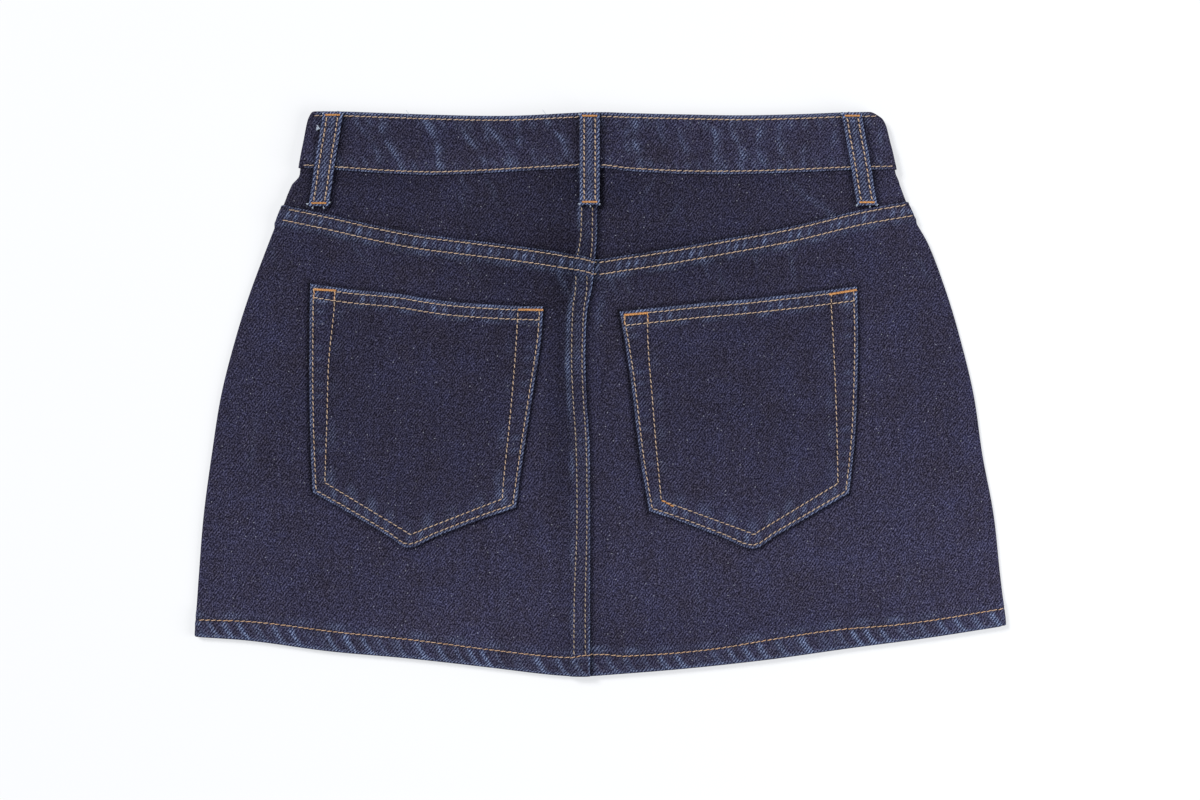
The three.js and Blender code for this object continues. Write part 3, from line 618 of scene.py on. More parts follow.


# %% [markdown]
# ## Where the pockets and the belt loops sit
#
# The cloth under a pocket or a loop has to know about it: a shadow is painted on the cloth just
# outside its edges. So their places come first, as short tables that were read off the photo.

# %% Places of the pockets and the belt loops
POCKETS = {
    "left": {
        "sides": table("y left right", [
            (-95, -178, -56), (-70, -178, -52.5), (-61, -178.5, -51.3), (-31, -179.8, -47),
            (1, -180.5, -42), (34, -180.5, -37), (54, -180.3, -35.6), (69, -180, -35),
        ]),
        "edges": table("share mouth low", [
            (0, 68.6, -61), (0.16, 65.2, -72.5), (0.38, 62.2, -88.3), (0.48, 59.8, -95.3),
            (0.61, 57.3, -88.6), (0.83, 55.1, -77.8), (1, 54.3, -70.2),
        ]),
        "rows": table("y left right", [
            (-75, -171.2, -61.5), (-55, -170.9, -60.3), (-18, -169.7, -56.5), (20, -168.5, -53.2),
            (50, -165.4, -51.3), (66, -164.5, -50.6),
        ]),
        "low_row": table("x y", [(-171, -54.7), (-117.9, -87.0), (-61, -64.9)]),
        "tacks": [(-178.0, 64.9, -164.0, 64.2), (-50.9, 52.3, -35.6, 52.1)],
        "legs": [(-177.4, 64.6, -177.9, 58.6), (-164.8, 64.2, -165.2, 57.8)],
        "hem_rows": (2.6, 8.4),
    },
    "right": {
        "sides": table("y left right", [
            (-96, 32.5, 152), (-73, 30.1, 153), (-61, 28, 154), (-40, 24.6, 156.4),
            (-21, 22.2, 158), (10, 18.5, 159.2), (34, 14.8, 159.6), (51, 11.8, 159.3),
            (67, 10, 158.9),
        ]),
        "edges": table("share mouth low", [
            (0, 51.1, -72.6), (0.13, 53.2, -78), (0.37, 56.8, -89.3), (0.52, 58.6, -95.8),
            (0.64, 60.5, -87.5), (0.79, 63, -77), (1, 66.9, -61.5),
        ]),
        "rows": table("y left right", [
            (-80, 38.0, 147.4), (-66, 37.5, 147.2), (-33, 34.4, 146.6), (-2.6, 32.0, 145.7),
            (28, 29.5, 144.4), (54, 28.8, 142.9),
        ]),
        "low_row": table("x y", [(37.5, -65.8), (95, -86.8), (147.1, -55.3)]),
        "tacks": [(14.6, 49.0, 29.2, 50.3), (141.6, 61.8, 158.6, 64.6)],
        "legs": [(15.2, 49.0, 14.6, 42.8), (29.0, 50.2, 29.4, 44.2)],
        "hem_rows": (2.6, 8.8),
    },
}

LOOP_WIDTH, LOOP_END = 12.4, 8.0
LOOPS = {
    "belt_loop_back_left": (-165.2, -174.5, 116.2),
    "belt_loop_back_centre": (-6.8, -6.8, 116.7),
    "belt_loop_back_right": (154.9, 164.9, 116.7),
}
FRONT_LOOPS = {"belt_loop_front_left": (-88.0, -93.0), "belt_loop_front_right": (88.0, 93.0)}
FRONT_LOOP_REACH = 23.0
LOOP_INSET = 0.4
LOOP_ROWS = 3.4
# The low edge slants, so the distance to it is less than the height above it
LOW_SLOPE = 0.87


def between_sides(pocket, share, y):
    """The place of a share of the pocket's width at the height y."""
    left, right = (read(pocket["sides"], "y", key, y) for key in ("left", "right"))
    return mix(left, right, share)


def pocket_lines(pocket, x, y):
    """Distances in from the pocket's outline: from its left side, right side, mouth and low edge."""
    left, right = (read(pocket["sides"], "y", key, y) for key in ("left", "right"))
    share = np.clip((x - left) / (right - left), 0, 1)
    mouth = read(pocket["edges"], "share", "mouth", share)
    low = read(pocket["edges"], "share", "low", share)
    return x - left, right - x, mouth - y, (y - low) * LOW_SLOPE


def loop_middle(top, low, end, y):
    """The middle of a back loop, on a straight line from its top to its lower end."""
    return mix(low, top, (y - end) / (band_top(top) - end))


# %% [markdown]
# ## The back panels
#
# Each panel is a sheet with three special edges: a folded one that laps over the yoke, a felled one
# at the centre, and a hem that is turned up inside. The hem is built as it is sewn: the rows go
# down the outer layer, round the fold and up the inner one.

# %% Back panels
EDGE_ROUND = 0.5 * CLOTH
QUICK_STEP = 1.0
FOLD_TURNS = np.linspace(0, np.pi, 13)
OVER_SEAM, BESIDE_SEAM = 16.0, 219.0
# Curves between which the rows of a piece run
CAUGHT = shifted(band_bottom, SEAM_DEPTH - 1)
DIP_HIGH, DIP_LOW = shifted(band_bottom, -DIP_END), shifted(band_bottom, -DIP_START)
LAP_LOW = shifted(yoke, -FELL - FADE)
ABOVE_HEM, HEM_TURN = shifted(hem, 21.0), shifted(hem, HEM_STACK / 2)


def panel_rise(side, x, y, offset, stack_now):
    """How much higher a back panel lies on the yoke and on the other panel."""
    lapped = 1 - ramp(yoke(x) - y, FELL, FELL + FADE)
    centre = (stack_now + GAP) * hump(offset) if side < 0 else 0.0
    return LAYER * lapped * (1 + hump(offset)) + centre


def panel_top(side, x, y, facing=1.0):
    """The lift of a back panel's outer face, and its wear. Underneath there is no relief."""
    offset = from_seam(side, x, y)
    stack_now = CLOTH + (HEM_STACK - CLOTH) * in_hem(y - hem(x))
    seam_relief, seam_wear = yoke_seam(x, y)
    centre_relief, centre_wear = centre_seam_marks(side, x, y)
    hem_relief, hem_wear = hem_marks(x, y)
    relief = (seam_relief + centre_relief + hem_relief) * facing
    wear = seam_wear + centre_wear + hem_wear + pale_creases(x, y) * facing
    return stack_now + panel_rise(side, x, y, offset, stack_now) + relief, wear


# Broad painted light and shade on the cloth: below 0 is darker, as the painted shade in the
# hollow beside the centre seam
EVERY_Y = 1e6
PAINTED_LIGHT_AND_SHADE = table("x y wide tall strength", [
    (-24, 0, 9, 80, -0.26), (-12, 128, 60, 12, -0.14), (-42, 72, 45, 38, -0.20),
    (-20, 80, 14, 18, -0.15), (50, 85, 35, 14, -0.15), (-60, 162, 80, 14, -0.14),
    (90, 75, 80, 28, -0.10), (205, 20, 30, 60, -0.05), (150, -145, 80, 16, -0.15),
    (5, -160, 45, 16, -0.16), (-14, 0, 16, EVERY_Y, -0.07), (-235, 0, 45, EVERY_Y, 0.14),
    (-95, -140, 60, 18, 0.15), (-75, 135, 45, 25, 0.08), (-125, 0, 50, 60, 0.06),
    (180, 120, 14, 22, 0.15), (70, -55, 40, 25, 0.06),
])


def tone_with_painted_light(x, y, base):
    """The cloth's tone: paler towards the bottom, paler towards the right as painted light, a bell
    each way for each patch of painted light and shade, and a slow uneven wander.
    """
    tone = base - 0.05 + 0.16 * ramp(-y, 0, 120) - 0.04 * ramp(y, 20, 120)
    # Painted light: the cloth is made paler towards the right, as if lit more from that side
    tone = tone + 0.10 * np.clip(x / 240, -1, 1) + 0.06 * ramp(x, 60, 240)
    for cx, cy, wide, tall, strength in zip(*PAINTED_LIGHT_AND_SHADE.values()):
        tone = tone + strength * bell(x - cx, wide) * bell(y - cy, tall)
    return tone + 0.035 * wander(x + 0.5 * y, 61.0, 2.0) * wander(y - 0.4 * x, 43.0, 5.0)


def painted_seam_shade(x, y):
    """Painted shade in the corners beside the seams, where shadow falls and the dye has also stayed
    darker: right of the centre seam, above the yoke seam, along the rows of stitches, and under the
    waistband's lower edge."""
    offset, below_band = x - centre_seam(y), band_bottom(x) - y
    dark = 0.52 * bell(offset - 1.2, 1.4) * (offset > 0) * (below_band > 0)
    dark = dark + 0.28 * bell(y - yoke(x) - 1.2, 1.4) * (y > yoke(x))
    below_yoke = yoke(x) - y
    rows = bell(below_yoke - UPPER_ROW, 0.9) + bell(below_yoke - LOWER_ROW, 0.9)
    rows = rows + bell(y - hem(x) - read(HEM_ROW, "x", "up", x), 0.9)
    # Painted shade along the rows of stitches, as in the grooves that the thread pulls into the cloth
    dark = dark + 0.3 * rows
    return dark + 0.4 * bell(below_band - 0.9, 1.3) * (below_band > 0)


def painted_pocket_shadow(x, y):
    """Painted shadow just outside the pockets, as beside the seams, deeper beside their left sides."""
    dark = 0.0
    for pocket in POCKETS.values():
        lines = [np.broadcast_to(d, x.shape) for d in pocket_lines(pocket, x, y)]
        inside = np.minimum.reduce(lines)
        deep = 0.42 + 0.25 * bell(lines[0] + 1.0, 2.0) * (lines[1] > 0)
        dark = dark + deep * bell(inside + 1.0, 1.3) * (inside < 0.5)
    return dark


def loop_shade(x, y):
    """And on both sides of the belt loops, more on the right, where the light doesn't reach."""
    dark = 0.0
    for place in LOOPS.values():
        across = x - loop_middle(*place, y)
        along = ramp(y, place[2] - 3.0, place[2] + 1.0)
        dark = dark + (0.5 * bell(across - 8.0, 1.9) + 0.3 * bell(across + 7.6, 1.4)) * along
        dark = dark + 0.4 * bell(y - place[2] + 1.3, 1.6) * bell(across, 7.0)
    return dark


def panel_columns(side):
    """Columns of a panel or a yoke: close together over the centre seam, and wider apart after it."""
    start = 0.0 if side < 0 else -FELL + GAP
    fine = stops(OVER_SEAM, 0.75 * QUICK_STEP, 0.6 if side < 0 else 0.0)[:-1] * OVER_SEAM
    wide = OVER_SEAM + BESIDE_SEAM * stops(BESIDE_SEAM, 1.35 * QUICK_STEP)
    share = np.concatenate([fine, wide]) / (OVER_SEAM + BESIDE_SEAM)
    return Columns(side, start, share[:-1], FOLD_TURNS, np.linspace(0.5, SIDE_SEAM_INSET, 5))


def hem_walls(columns, rise, marks):
    """The hem's rows: round its folded edge, and up the turning inside it."""
    turns = np.linspace(0, np.pi, 9)
    radius = HEM_STACK / 2
    edge_y = solve(columns, hem, hem, np.zeros(1))
    middle = edge_y + radius
    outer_y, inner_y = middle - radius * np.sin(turns), middle - GAP / 2 * np.sin(turns)
    outer_x = columns.x(outer_y)
    lift = rise(outer_x, outer_y)
    relief, wear = marks(outer_x, outer_y)
    facing = (1 + np.cos(turns)) / 2 * columns.facing()
    outer = columns.put(outer_y, radius + radius * np.cos(turns) + lift + relief * facing)
    inner = columns.put(inner_y, TURNED + GAP / 2 + GAP / 2 * np.cos(turns) + lift)
    up = np.linspace(0, 1, 5)[1:]
    inside_y = mix(middle, edge_y + HEM_DEPTH, up)
    lift = rise(columns.x(inside_y), inside_y)
    outer = np.concatenate([outer, columns.put(inside_y, lift)], axis=1)
    inner = np.concatenate([inner, columns.put(inside_y, TURNED + lift)], axis=1)
    return outer, inner, np.concatenate([wear * facing, 0 * inside_y], axis=1)


def back_panel(side, name):
    """One back panel: the lap over the yoke, the body, and the hem, row after row."""
    columns = panel_columns(side)
    lap = solve(columns, yoke, LAP_LOW, stops(FELL + FADE, 0.8, 0.6))
    body = solve(columns, LAP_LOW, ABOVE_HEM, stops(200.0, 1.7 * QUICK_STEP)[1:])
    low = solve(columns, ABOVE_HEM, HEM_TURN, stops(19.7, 0.8)[1:-1])
    y = np.concatenate([lap, body, low], axis=1)
    x = columns.x(y)
    lift, wear = panel_top(side, x, y, columns.facing())
    along = np.abs(x - x[0:1]) if side < 0 else FAR
    rounded = np.maximum(rounding(along, 0.6), rounding(yoke(x) - y, 0.6)) * EDGE_ROUND
    outer, inner = columns.put(y, lift - rounded), columns.put(y, lift - CLOTH + rounded)

    def rise(px, py):
        return panel_rise(side, px, py, from_seam(side, px, py), HEM_STACK)

    hem_outer, hem_inner, hem_wear = hem_walls(columns, rise, hem_marks)
    outer = np.concatenate([outer, hem_outer], axis=1)
    inner = np.concatenate([inner, hem_inner], axis=1)
    wear = np.concatenate([wear, hem_wear], axis=1)
    px, py = outer[..., 0], outer[..., 1]
    # The tone carries painted shade beside the pockets and the seams
    tone = tone_with_painted_light(px, py, 1.0) * (1 - painted_pocket_shadow(px, py)) * (1 - painted_seam_shade(px, py))
    return wall_object(name, outer, inner, wear, tone)


cloth_pieces = {}
for side, hand in ((-1, "left"), (1, "right")):
    cloth_pieces[f"back_panel_{hand}"] = back_panel(side, f"denim_back_panel_{hand}")

# %% [markdown]
# ## The yokes
#
# A yoke is one plain layer. Its upper edge is caught inside the waistband and its lower edge is
# hidden under the panel's lap. At the centre the left yoke laps over the right one.


# %% Back yokes
def yoke_top(side, x, y, facing=1.0):
    """The lift of a yoke's outer face, and its wear."""
    above = y - band_bottom(x)
    offset = from_seam(side, x, y)
    centre = LAYER * hump(offset) if side < 0 else 0.0
    relief, wear = centre_seam_marks(side, x, y)
    shadow = 0.22 * bell(above + 5.0, 3.0) * pleat(x, 9.5, 3.0)
    pucker = -0.2 * bell(yoke(x) - y + 3.0, 2.5) * pleat(x, 7.0, 6.0)
    wear = wear + pale_creases(x, y) * facing
    return CLOTH + LAYER * in_band(above) + centre + (relief + shadow + pucker) * facing, wear


def back_yoke(side, name):
    """One yoke: the edge in the waistband, the dip under it, the body, and the edge in the lap."""
    columns = panel_columns(side)
    above_lap = shifted(yoke, 1.0)
    top = solve(columns, CAUGHT, DIP_HIGH, stops(12.0, 3.0))
    dip = solve(columns, DIP_HIGH, DIP_LOW, stops(6.0, 1.0)[1:])
    body = solve(columns, DIP_LOW, above_lap, stops(34.0, 1.2 * QUICK_STEP)[1:])
    low = solve(columns, above_lap, shifted(yoke, -FELL + GAP), stops(11.0, 3.0)[1:])
    y = np.concatenate([top, dip, body, low], axis=1)
    x = columns.x(y)
    lift, wear = yoke_top(side, x, y, columns.facing())
    along = np.abs(x - x[0:1]) if side < 0 else FAR
    rounded = rounding(along, 0.6) * EDGE_ROUND
    outer, inner = columns.put(y, lift - rounded), columns.put(y, lift - CLOTH + rounded)
    # The tone carries painted shade beside the seams and the belt loops
    tone = tone_with_painted_light(x, y, 0.93) * (1 - painted_seam_shade(x, y)) * (1 - loop_shade(x, y))
    return wall_object(name, outer, inner, wear, tone)


for side, hand in ((-1, "left"), (1, "right")):
    cloth_pieces[f"back_yoke_{hand}"] = back_yoke(side, f"denim_back_yoke_{hand}")

# %% [markdown]
# ## The pockets
#
# A patch pocket is five-sided. Its sides are turned under, so the rim is two layers thick as far as
# the inner row of stitches, and the middle sinks onto the panel. The grid runs from the mouth to
# the pointed lower edge, so its outer rows follow the outline exactly.

# %% Pockets
# Rough sizes, which only set how close together the grid's lines are
POCKET_WIDTH, POCKET_DEPTH = 130.0, 138.0


def pocket_outline(pocket, share, down):
    """The place of a share of the width and a share of the depth."""
    mouth = read(pocket["edges"], "share", "mouth", share)
    low = read(pocket["edges"], "share", "low", share)
    y = mix(mouth, low, down)
    return between_sides(pocket, share, y), y


def low_row_height(pocket, x):
    """The inner row along the pointed lower edge: two straight lines."""
    row = pocket["low_row"]
    return np.interp(x, row["x"], row["y"])


def pocket_top(side, pocket, x, y):
    """The lift of a pocket's outer face over the back's inner face, its wear, and its tone, which
    holds a painted shade along the rows of stitches."""
    from_left, from_right, from_mouth, from_low = pocket_lines(pocket, x, y)
    inner_left = x - read(pocket["rows"], "y", "left", y)
    inner_right = read(pocket["rows"], "y", "right", y) - x
    inner_low = (y - low_row_height(pocket, x)) * LOW_SLOPE
    upper, lower = pocket["hem_rows"]
    inner_mouth = from_mouth - lower
    inside = np.minimum(np.minimum(inner_left, inner_right), np.minimum(inner_low, inner_mouth))
    rim = 1 - ramp(inside, 0.3, 2.4)
    border = np.minimum(np.minimum(from_left, from_right), from_low)
    relief = groove(inner_mouth) + groove(from_mouth - upper)
    side_rows = np.minimum(np.minimum(inner_left, inner_right), inner_low)
    below_mouth = ramp(from_mouth, upper - 1.0, upper)
    relief = relief + (groove(side_rows) + groove(border - 2.2)) * below_mouth
    hem_ridges = pleat(x, 6.1, 11.0 + side)
    hem_zone = bell(from_mouth - (upper + lower) / 2, 2.3)
    side_ridges = pleat(y, 7.3, 13.0 + side)
    side_zone = bell(np.minimum(from_left, from_right) - 6.0, 3.0) * below_mouth
    low_ridges = pleat(x, 6.6, 15.0 + side)
    low_zone = bell(from_low - 5.5, 2.6)
    relief = relief + 0.2 * hem_ridges * hem_zone + 0.14 * side_ridges * side_zone
    relief = relief + 0.18 * low_ridges * low_zone
    middle = ramp(inside, 2.0, 30.0)
    relief = relief - 0.25 * middle * ramp(from_mouth, 14.0, 40.0)
    # Painted shade along the rows of stitches, where the thread lies in its groove
    rows = bell(from_mouth - upper, 0.8) + bell(inner_mouth, 0.8)
    rows = rows + (bell(side_rows, 0.8) + bell(border - 2.2, 0.8)) * below_mouth
    wear = 0.75 * bell(border - 0.4, 1.0) * (0.7 + 0.3 * wander(x - y, 19.0, side))
    wear = wear + 0.8 * bell(from_mouth - 0.9, 1.1) * (0.75 + 0.25 * wander(x, 29.0, side))
    wear = wear + (0.85 * hem_ridges**1.8 + 0.05) * hem_zone
    wear = wear + 0.36 * bell(from_mouth - lower - 1.8, 1.3) * (0.45 + 0.55 * wander(x, 17.0, 1.0))
    wear = wear + 0.26 * side_ridges * side_zone + 0.6 * low_ridges * low_zone
    wear = wear + 0.34 * bell(inner_low - 3.5, 3.6) * pleat(x, 13.0, 17.0 + side) * (inner_low > 0)
    inner_side, from_side = np.minimum(inner_left, inner_right), np.minimum(from_left, from_right)
    wear = wear + 0.2 * bell(inner_side - 3.5, 2.6) * pleat(y, 23.0, 18.0 + side)
    corner = bell(np.hypot(from_side, from_mouth), 4.0) + bell(np.hypot(from_side, from_low), 4.5)
    return LAYER + CLOTH * (1 + rim) + relief, wear + 0.3 * corner, 1 - 0.3 * np.minimum(rows, 1)


def back_pocket(side, hand):
    """One pocket: a grid over its outline, whose rim comes down to the panel at a rounded edge."""
    pocket = POCKETS[hand]
    share = stops(POCKET_WIDTH, 1.15 * QUICK_STEP, 0.7, 0.7)[:, None]
    down = stops(POCKET_DEPTH, 1.15 * QUICK_STEP, 0.7, 0.7)[None, :]
    x, y = pocket_outline(pocket, share, down)
    lift, wear, tone = pocket_top(side, pocket, x, y)
    from_ends = np.minimum(down, 1 - down) * POCKET_DEPTH
    border = np.minimum(np.minimum(share, 1 - share) * POCKET_WIDTH, from_ends)
    rounded = rounding(border, 0.7) * CLOTH
    base = back_height(x, y)
    outer = np.stack([x, y, base + lift - 0.8 * rounded], axis=-1)
    inner = np.stack([x, y, base + LAYER], axis=-1)
    # The pocket's tone carries its painted shade along the rows of stitches
    return wall_object(f"denim_back_pocket_{hand}", outer, inner, wear, tone_with_painted_light(x, y, 0.93) * tone)


for side, hand in ((-1, "left"), (1, "right")):
    cloth_pieces[f"back_pocket_{hand}"] = back_pocket(side, hand)

# %% [markdown]
# ## The waistband
#
# The waistband is one strip folded along its upper edge. It starts at the centre front, runs round
# both side folds and comes back to the centre front, where its ends lap and the button closes them.
# Its columns are the same as the solid's, only closer together.


# %% Waistband
class BandColumns:
    """The waistband's columns as arrays: kind 0 across the back, 1 round a fold, 2 in front."""

    def __init__(self):
        parts = []

        def add(kind, side, start, share, turn=0.0, climb=0.0, plump=1.0):
            """Adds a run of columns. A climb of 1 moves them in behind the lap's other end."""
            share = np.atleast_1d(share)
            block = np.broadcast_arrays(kind, side, start, share, turn, climb, plump)
            parts.append(np.array([np.ravel(a) for a in block], float))

        turns = FOLD_TURNS[::-1]
        climbing = np.linspace(0.86, 0, 6)
        add(2, 0, np.linspace(-UNDERLAP, GAP, 8), 0.0, climb=1.0, plump=0.0)
        add(2, 0, np.linspace(2, LAP_RAMP, 6), 0.0, climb=climbing, plump=1 - climbing)
        add(2, 1, LAP_RAMP, np.linspace(0.03, 0.98, 40))
        add(1, 1, 0.0, 0.0, turn=turns)
        across = np.linspace(0, 0.99, int(172 / QUICK_STEP))
        add(0, 1, 0.0, across[::-1])
        add(0, -1, 0.0, across[1:])
        add(1, -1, 0.0, 0.0, turn=turns[::-1])
        add(2, -1, -GAP, np.linspace(0.98, 0, 44))
        block = np.concatenate(parts, axis=1)[:, :, None]
        self.kind, self.side, self.start, self.share, self.turn, self.climb, self.plump = block
        self.count = block.shape[1]
        self.front = (self.kind == 2) * 1.0

    def x(self, y):
        """The place of each column at the heights y."""
        left, right = fold(-1, y)[0], fold(1, y)[0]
        middle = np.where(self.side < 0, left, right)
        begin = np.where(self.kind == 0, centre_seam(y), self.start)
        flat = mix(begin, middle, self.share)
        return np.where(self.kind == 1, np.where(self.side < 0, edge(-1, y), edge(1, y)), flat)

    def put(self, y, lift):
        """Points at the heights y, lifted off the inner face, as for the panels."""
        x = self.x(y)
        (xl, zl, rl), (xr, zr, rr) = fold(-1, y), fold(1, y)
        is_left = self.side < 0
        radius = np.where(is_left, rl, rr) + lift
        round_x = np.where(is_left, xl, xr) + self.side * radius * np.sin(self.turn)
        round_z = np.where(is_left, zl, zr) + radius * np.cos(self.turn)
        flat_z = np.where(self.kind == 2, front_base(x, y) - lift, back_height(x, y) + lift)
        px = np.where(self.kind == 1, round_x, x)
        return np.stack([px, y + 0 * px, np.where(self.kind == 1, round_z, flat_z)], axis=-1)


# Each pucker by its place at the waistband's two edges, and where it starts and ends between them
BAND_PUCKERS = table("top low from to strength", [
    (-152, -134, 0.1, 0.8, 0.5), (-138, -124, 0.0, 0.85, 0.9), (-109, -97, 0.1, 1.0, 1.0),
    (-88, -70, 0.2, 0.9, 0.9), (-74, -62, 0.55, 1.0, 0.5), (-70, -54, 0.0, 0.9, 0.8),
    (-55, -44, 0.45, 1.0, 0.6), (-33, -18, 0.2, 0.9, 0.9), (-47, -38, 0.0, 0.4, 0.5),
    (14, 20, 0.3, 0.8, 0.5), (20, 25, 0.1, 0.9, 0.9), (36, 38, 0.5, 1.0, 0.5),
    (50, 52, 0.2, 0.75, 0.5), (66, 75, 0.0, 0.8, 1.0), (81, 88, 0.1, 0.95, 0.9),
    (96, 101, 0.1, 0.9, 0.8), (113, 109, 0.0, 0.9, 0.6), (128, 126, 0.1, 0.6, 0.4),
    (141, 147, 0.4, 1.0, 0.4), (171, 178, 0.3, 1.0, 0.5), (-172, -178, 0.2, 0.9, 0.3),
])


def band_marks(x, y):
    """Relief and wear of the waistband's back: grooves at its two rows, and the puckers, each a
    ridge with a hollow on its left."""
    up, down = y - band_bottom(x), band_top(x) - y
    relief = groove(up - BAND_LOW_ROW) + groove(down - BAND_TOP_ROW)
    share = up / (up + down)
    ridges, hollows = 0.0, 0.0
    for at_top, at_low, low, high, strength in zip(*BAND_PUCKERS.values()):
        off = x - mix(at_low, at_top, share) - 1.8 * np.sin(share * 7.0 + at_top)
        reach = ramp(share, low - 0.12, low + 0.12) * (1 - ramp(share, high - 0.12, high + 0.12))
        reach = reach * np.clip(0.62 + 0.5 * wander(y, 13.0, at_top), 0, 1.1)
        ridges = ridges + strength * (0.75 * bell(off, 1.3) + 0.3 * bell(off - 1.5, 3.2)) * reach
        hollows = hollows + strength * bell(off + 4.0, 2.8) * reach
    low = bell(up - 5.0, 3.0) * pleat(x + 0.4 * up, 8.0, 19.0)
    high = bell(down - 6.0, 3.0) * pleat(x - 0.3 * down, 9.0, 20.0)
    relief = relief + 0.5 * ridges - 0.4 * hollows + 0.2 * low + 0.16 * high
    wear = 0.62 * ridges + 0.3 * low + 0.26 * high
    wear = wear + 0.7 * bell(up - 0.3, 0.8) * (0.7 + 0.3 * wander(x, 27.0, 5.0))
    return relief, wear + 0.6 * bell(down - 0.8, 1.2)


def waistband():
    """The whole waistband: its outer wall from the lower edge up, the roll over its upper edge,
    and its inner wall down again."""
    columns = BandColumns()
    turns = np.linspace(0, np.pi, 9)
    radius = BAND_STACK / 2

    def band_row(y, outer_wall):
        """How far the band is moved off its base, its thickness, its relief and its wear."""
        x = columns.x(y)
        above = y - band_bottom(x, columns.front)
        full = band_stack(above)
        thickness = band_stack(above, columns.plump)
        offset = full - thickness - columns.climb * (full + GAP)
        ridge = (full - BAND_STACK) * hump(x - centre_seam(y)) * (columns.kind == 0)
        relief, wear = band_marks(x, y)
        on_back = (columns.kind == 0) * 1.0 * outer_wall
        return offset, thickness + ridge, relief * on_back, wear * on_back

    below_roll = shifted(band_top, -radius)
    low_y = solve(columns, band_bottom, below_roll, stops(35.0, 0.95 * QUICK_STEP, 0.6)[:-1])
    offset, thickness, relief, wear = band_row(low_y, 1.0)
    up = low_y - low_y[:, 0:1]
    rounded = rounding(up, 0.6) * EDGE_ROUND
    outer = columns.put(low_y, offset + thickness + relief - rounded)
    inner = columns.put(low_y, offset + thickness - CLOTH + rounded)
    top_y = solve(columns, band_top, band_top, np.zeros(1)) - radius
    offset = -columns.climb * (BAND_STACK + GAP)
    roll_y = top_y + radius * np.sin(turns)
    roll_relief, roll_wear = band_marks(columns.x(roll_y), roll_y)
    facing = (1 + np.cos(turns)) / 2 * (columns.kind == 0)
    roll_outer = columns.put(roll_y, radius + radius * np.cos(turns) + offset + roll_relief * facing)
    roll_inner = columns.put(top_y + GAP / 2 * np.sin(turns), radius + GAP / 2 * np.cos(turns) + offset)
    back_y = solve(columns, below_roll, shifted(band_bottom, -DIP_END / 2), np.linspace(0, 1, 7)[1:])
    offset = band_row(back_y, 0.0)[0]
    outer = np.concatenate([outer, roll_outer, columns.put(back_y, offset + 0 * back_y)], axis=1)
    inner = np.concatenate([inner, roll_inner, columns.put(back_y, offset + CLOTH + 0 * back_y)], axis=1)
    wear = np.concatenate([wear, roll_wear * facing, 0 * back_y], axis=1)
    px, py = outer[..., 0], outer[..., 1]
    # Painted shade along the waistband's two rows of stitches and beside the belt loops
    rows = bell(py - band_bottom(px) - BAND_LOW_ROW, 0.9) + bell(band_top(px) - py - BAND_TOP_ROW, 0.9)
    tone = tone_with_painted_light(px, py, 1.08) * (1 - loop_shade(px, py)) * (1 - 0.3 * rows)
    middle = int(np.argmin(columns.share[:, 0] + (columns.kind[:, 0] != 0)))
    return wall_object("denim_waistband", outer, inner, wear, tone, middle)


def band_top_lift(x, y):
    """The lift of the waistband's outer face across the back, and its wear."""
    above = y - band_bottom(x)
    ridge = (band_stack(above) - BAND_STACK) * hump(x - centre_seam(y))
    relief, wear = band_marks(x, y)
    return band_stack(above) + ridge + relief, wear


cloth_pieces["waistband"] = waistband()

# %% [markdown]
# ## The belt loops
#
# A loop is a strip folded in three, so its long edges are round. Both ends are folded under and
# tacked: one at the top of the waistband, one on the yoke. Between them it steps over the
# waistband's lower edge.

# %% Belt loops
def loop_course(top, low, end):
    """How a back loop runs: its height along the skirt, the lift of its inner face, and its
    thickness."""
    ridge = LAYER if abs(top - float(centre_seam(150.0))) < FELL else 0.0
    high = float(band_top(top)) - LOOP_INSET
    lower_edge = float(band_bottom((top + low) / 2))
    on_band, on_seam, on_yoke = BAND_STACK + GAP, BAND_STACK + LAYER + ridge + GAP, LAYER + ridge
    return table("y lift thick", [
        (end, on_yoke, LOOP_END_CLOTH), (end + LOOP_END - 1, on_yoke, LOOP_END_CLOTH),
        (end + LOOP_END + 2, on_yoke, LOOP_CLOTH), (lower_edge - 11, on_yoke + 0.1, LOOP_CLOTH),
        (lower_edge - 1, on_seam, LOOP_CLOTH), (lower_edge + 12, on_seam, LOOP_CLOTH),
        (lower_edge + 18, on_band, LOOP_CLOTH), (high - LOOP_END - 2, on_band, LOOP_CLOTH),
        (high - LOOP_END + 1, on_band, LOOP_END_CLOTH), (high, on_band, LOOP_END_CLOTH),
    ])


def loop_top(place, x, y):
    """The lift of a back loop's outer face, and its wear."""
    course = loop_course(*place)
    across = x - loop_middle(*place, y)
    lift = np.interp(y, course["y"], course["lift"]) + np.interp(y, course["y"], course["thick"])
    crown = 0.22 * (1 - (2 * across / LOOP_WIDTH) ** 2)
    ridges = pleat(y, 6.2, place[0])
    relief = groove(np.abs(across) - LOOP_ROWS) + 0.14 * ridges * bell(across, 3.0)
    ends = bell(y - course["y"][0], 3.5) + bell(y - course["y"][-1], 3.5)
    wear = 0.8 * bell(LOOP_WIDTH / 2 - 0.7 - np.abs(across), 1.1)
    wear = wear + 0.62 * bell(across, 2.2) * (0.6 + 0.4 * ridges)
    return lift + crown + relief, wear + 0.5 * ends


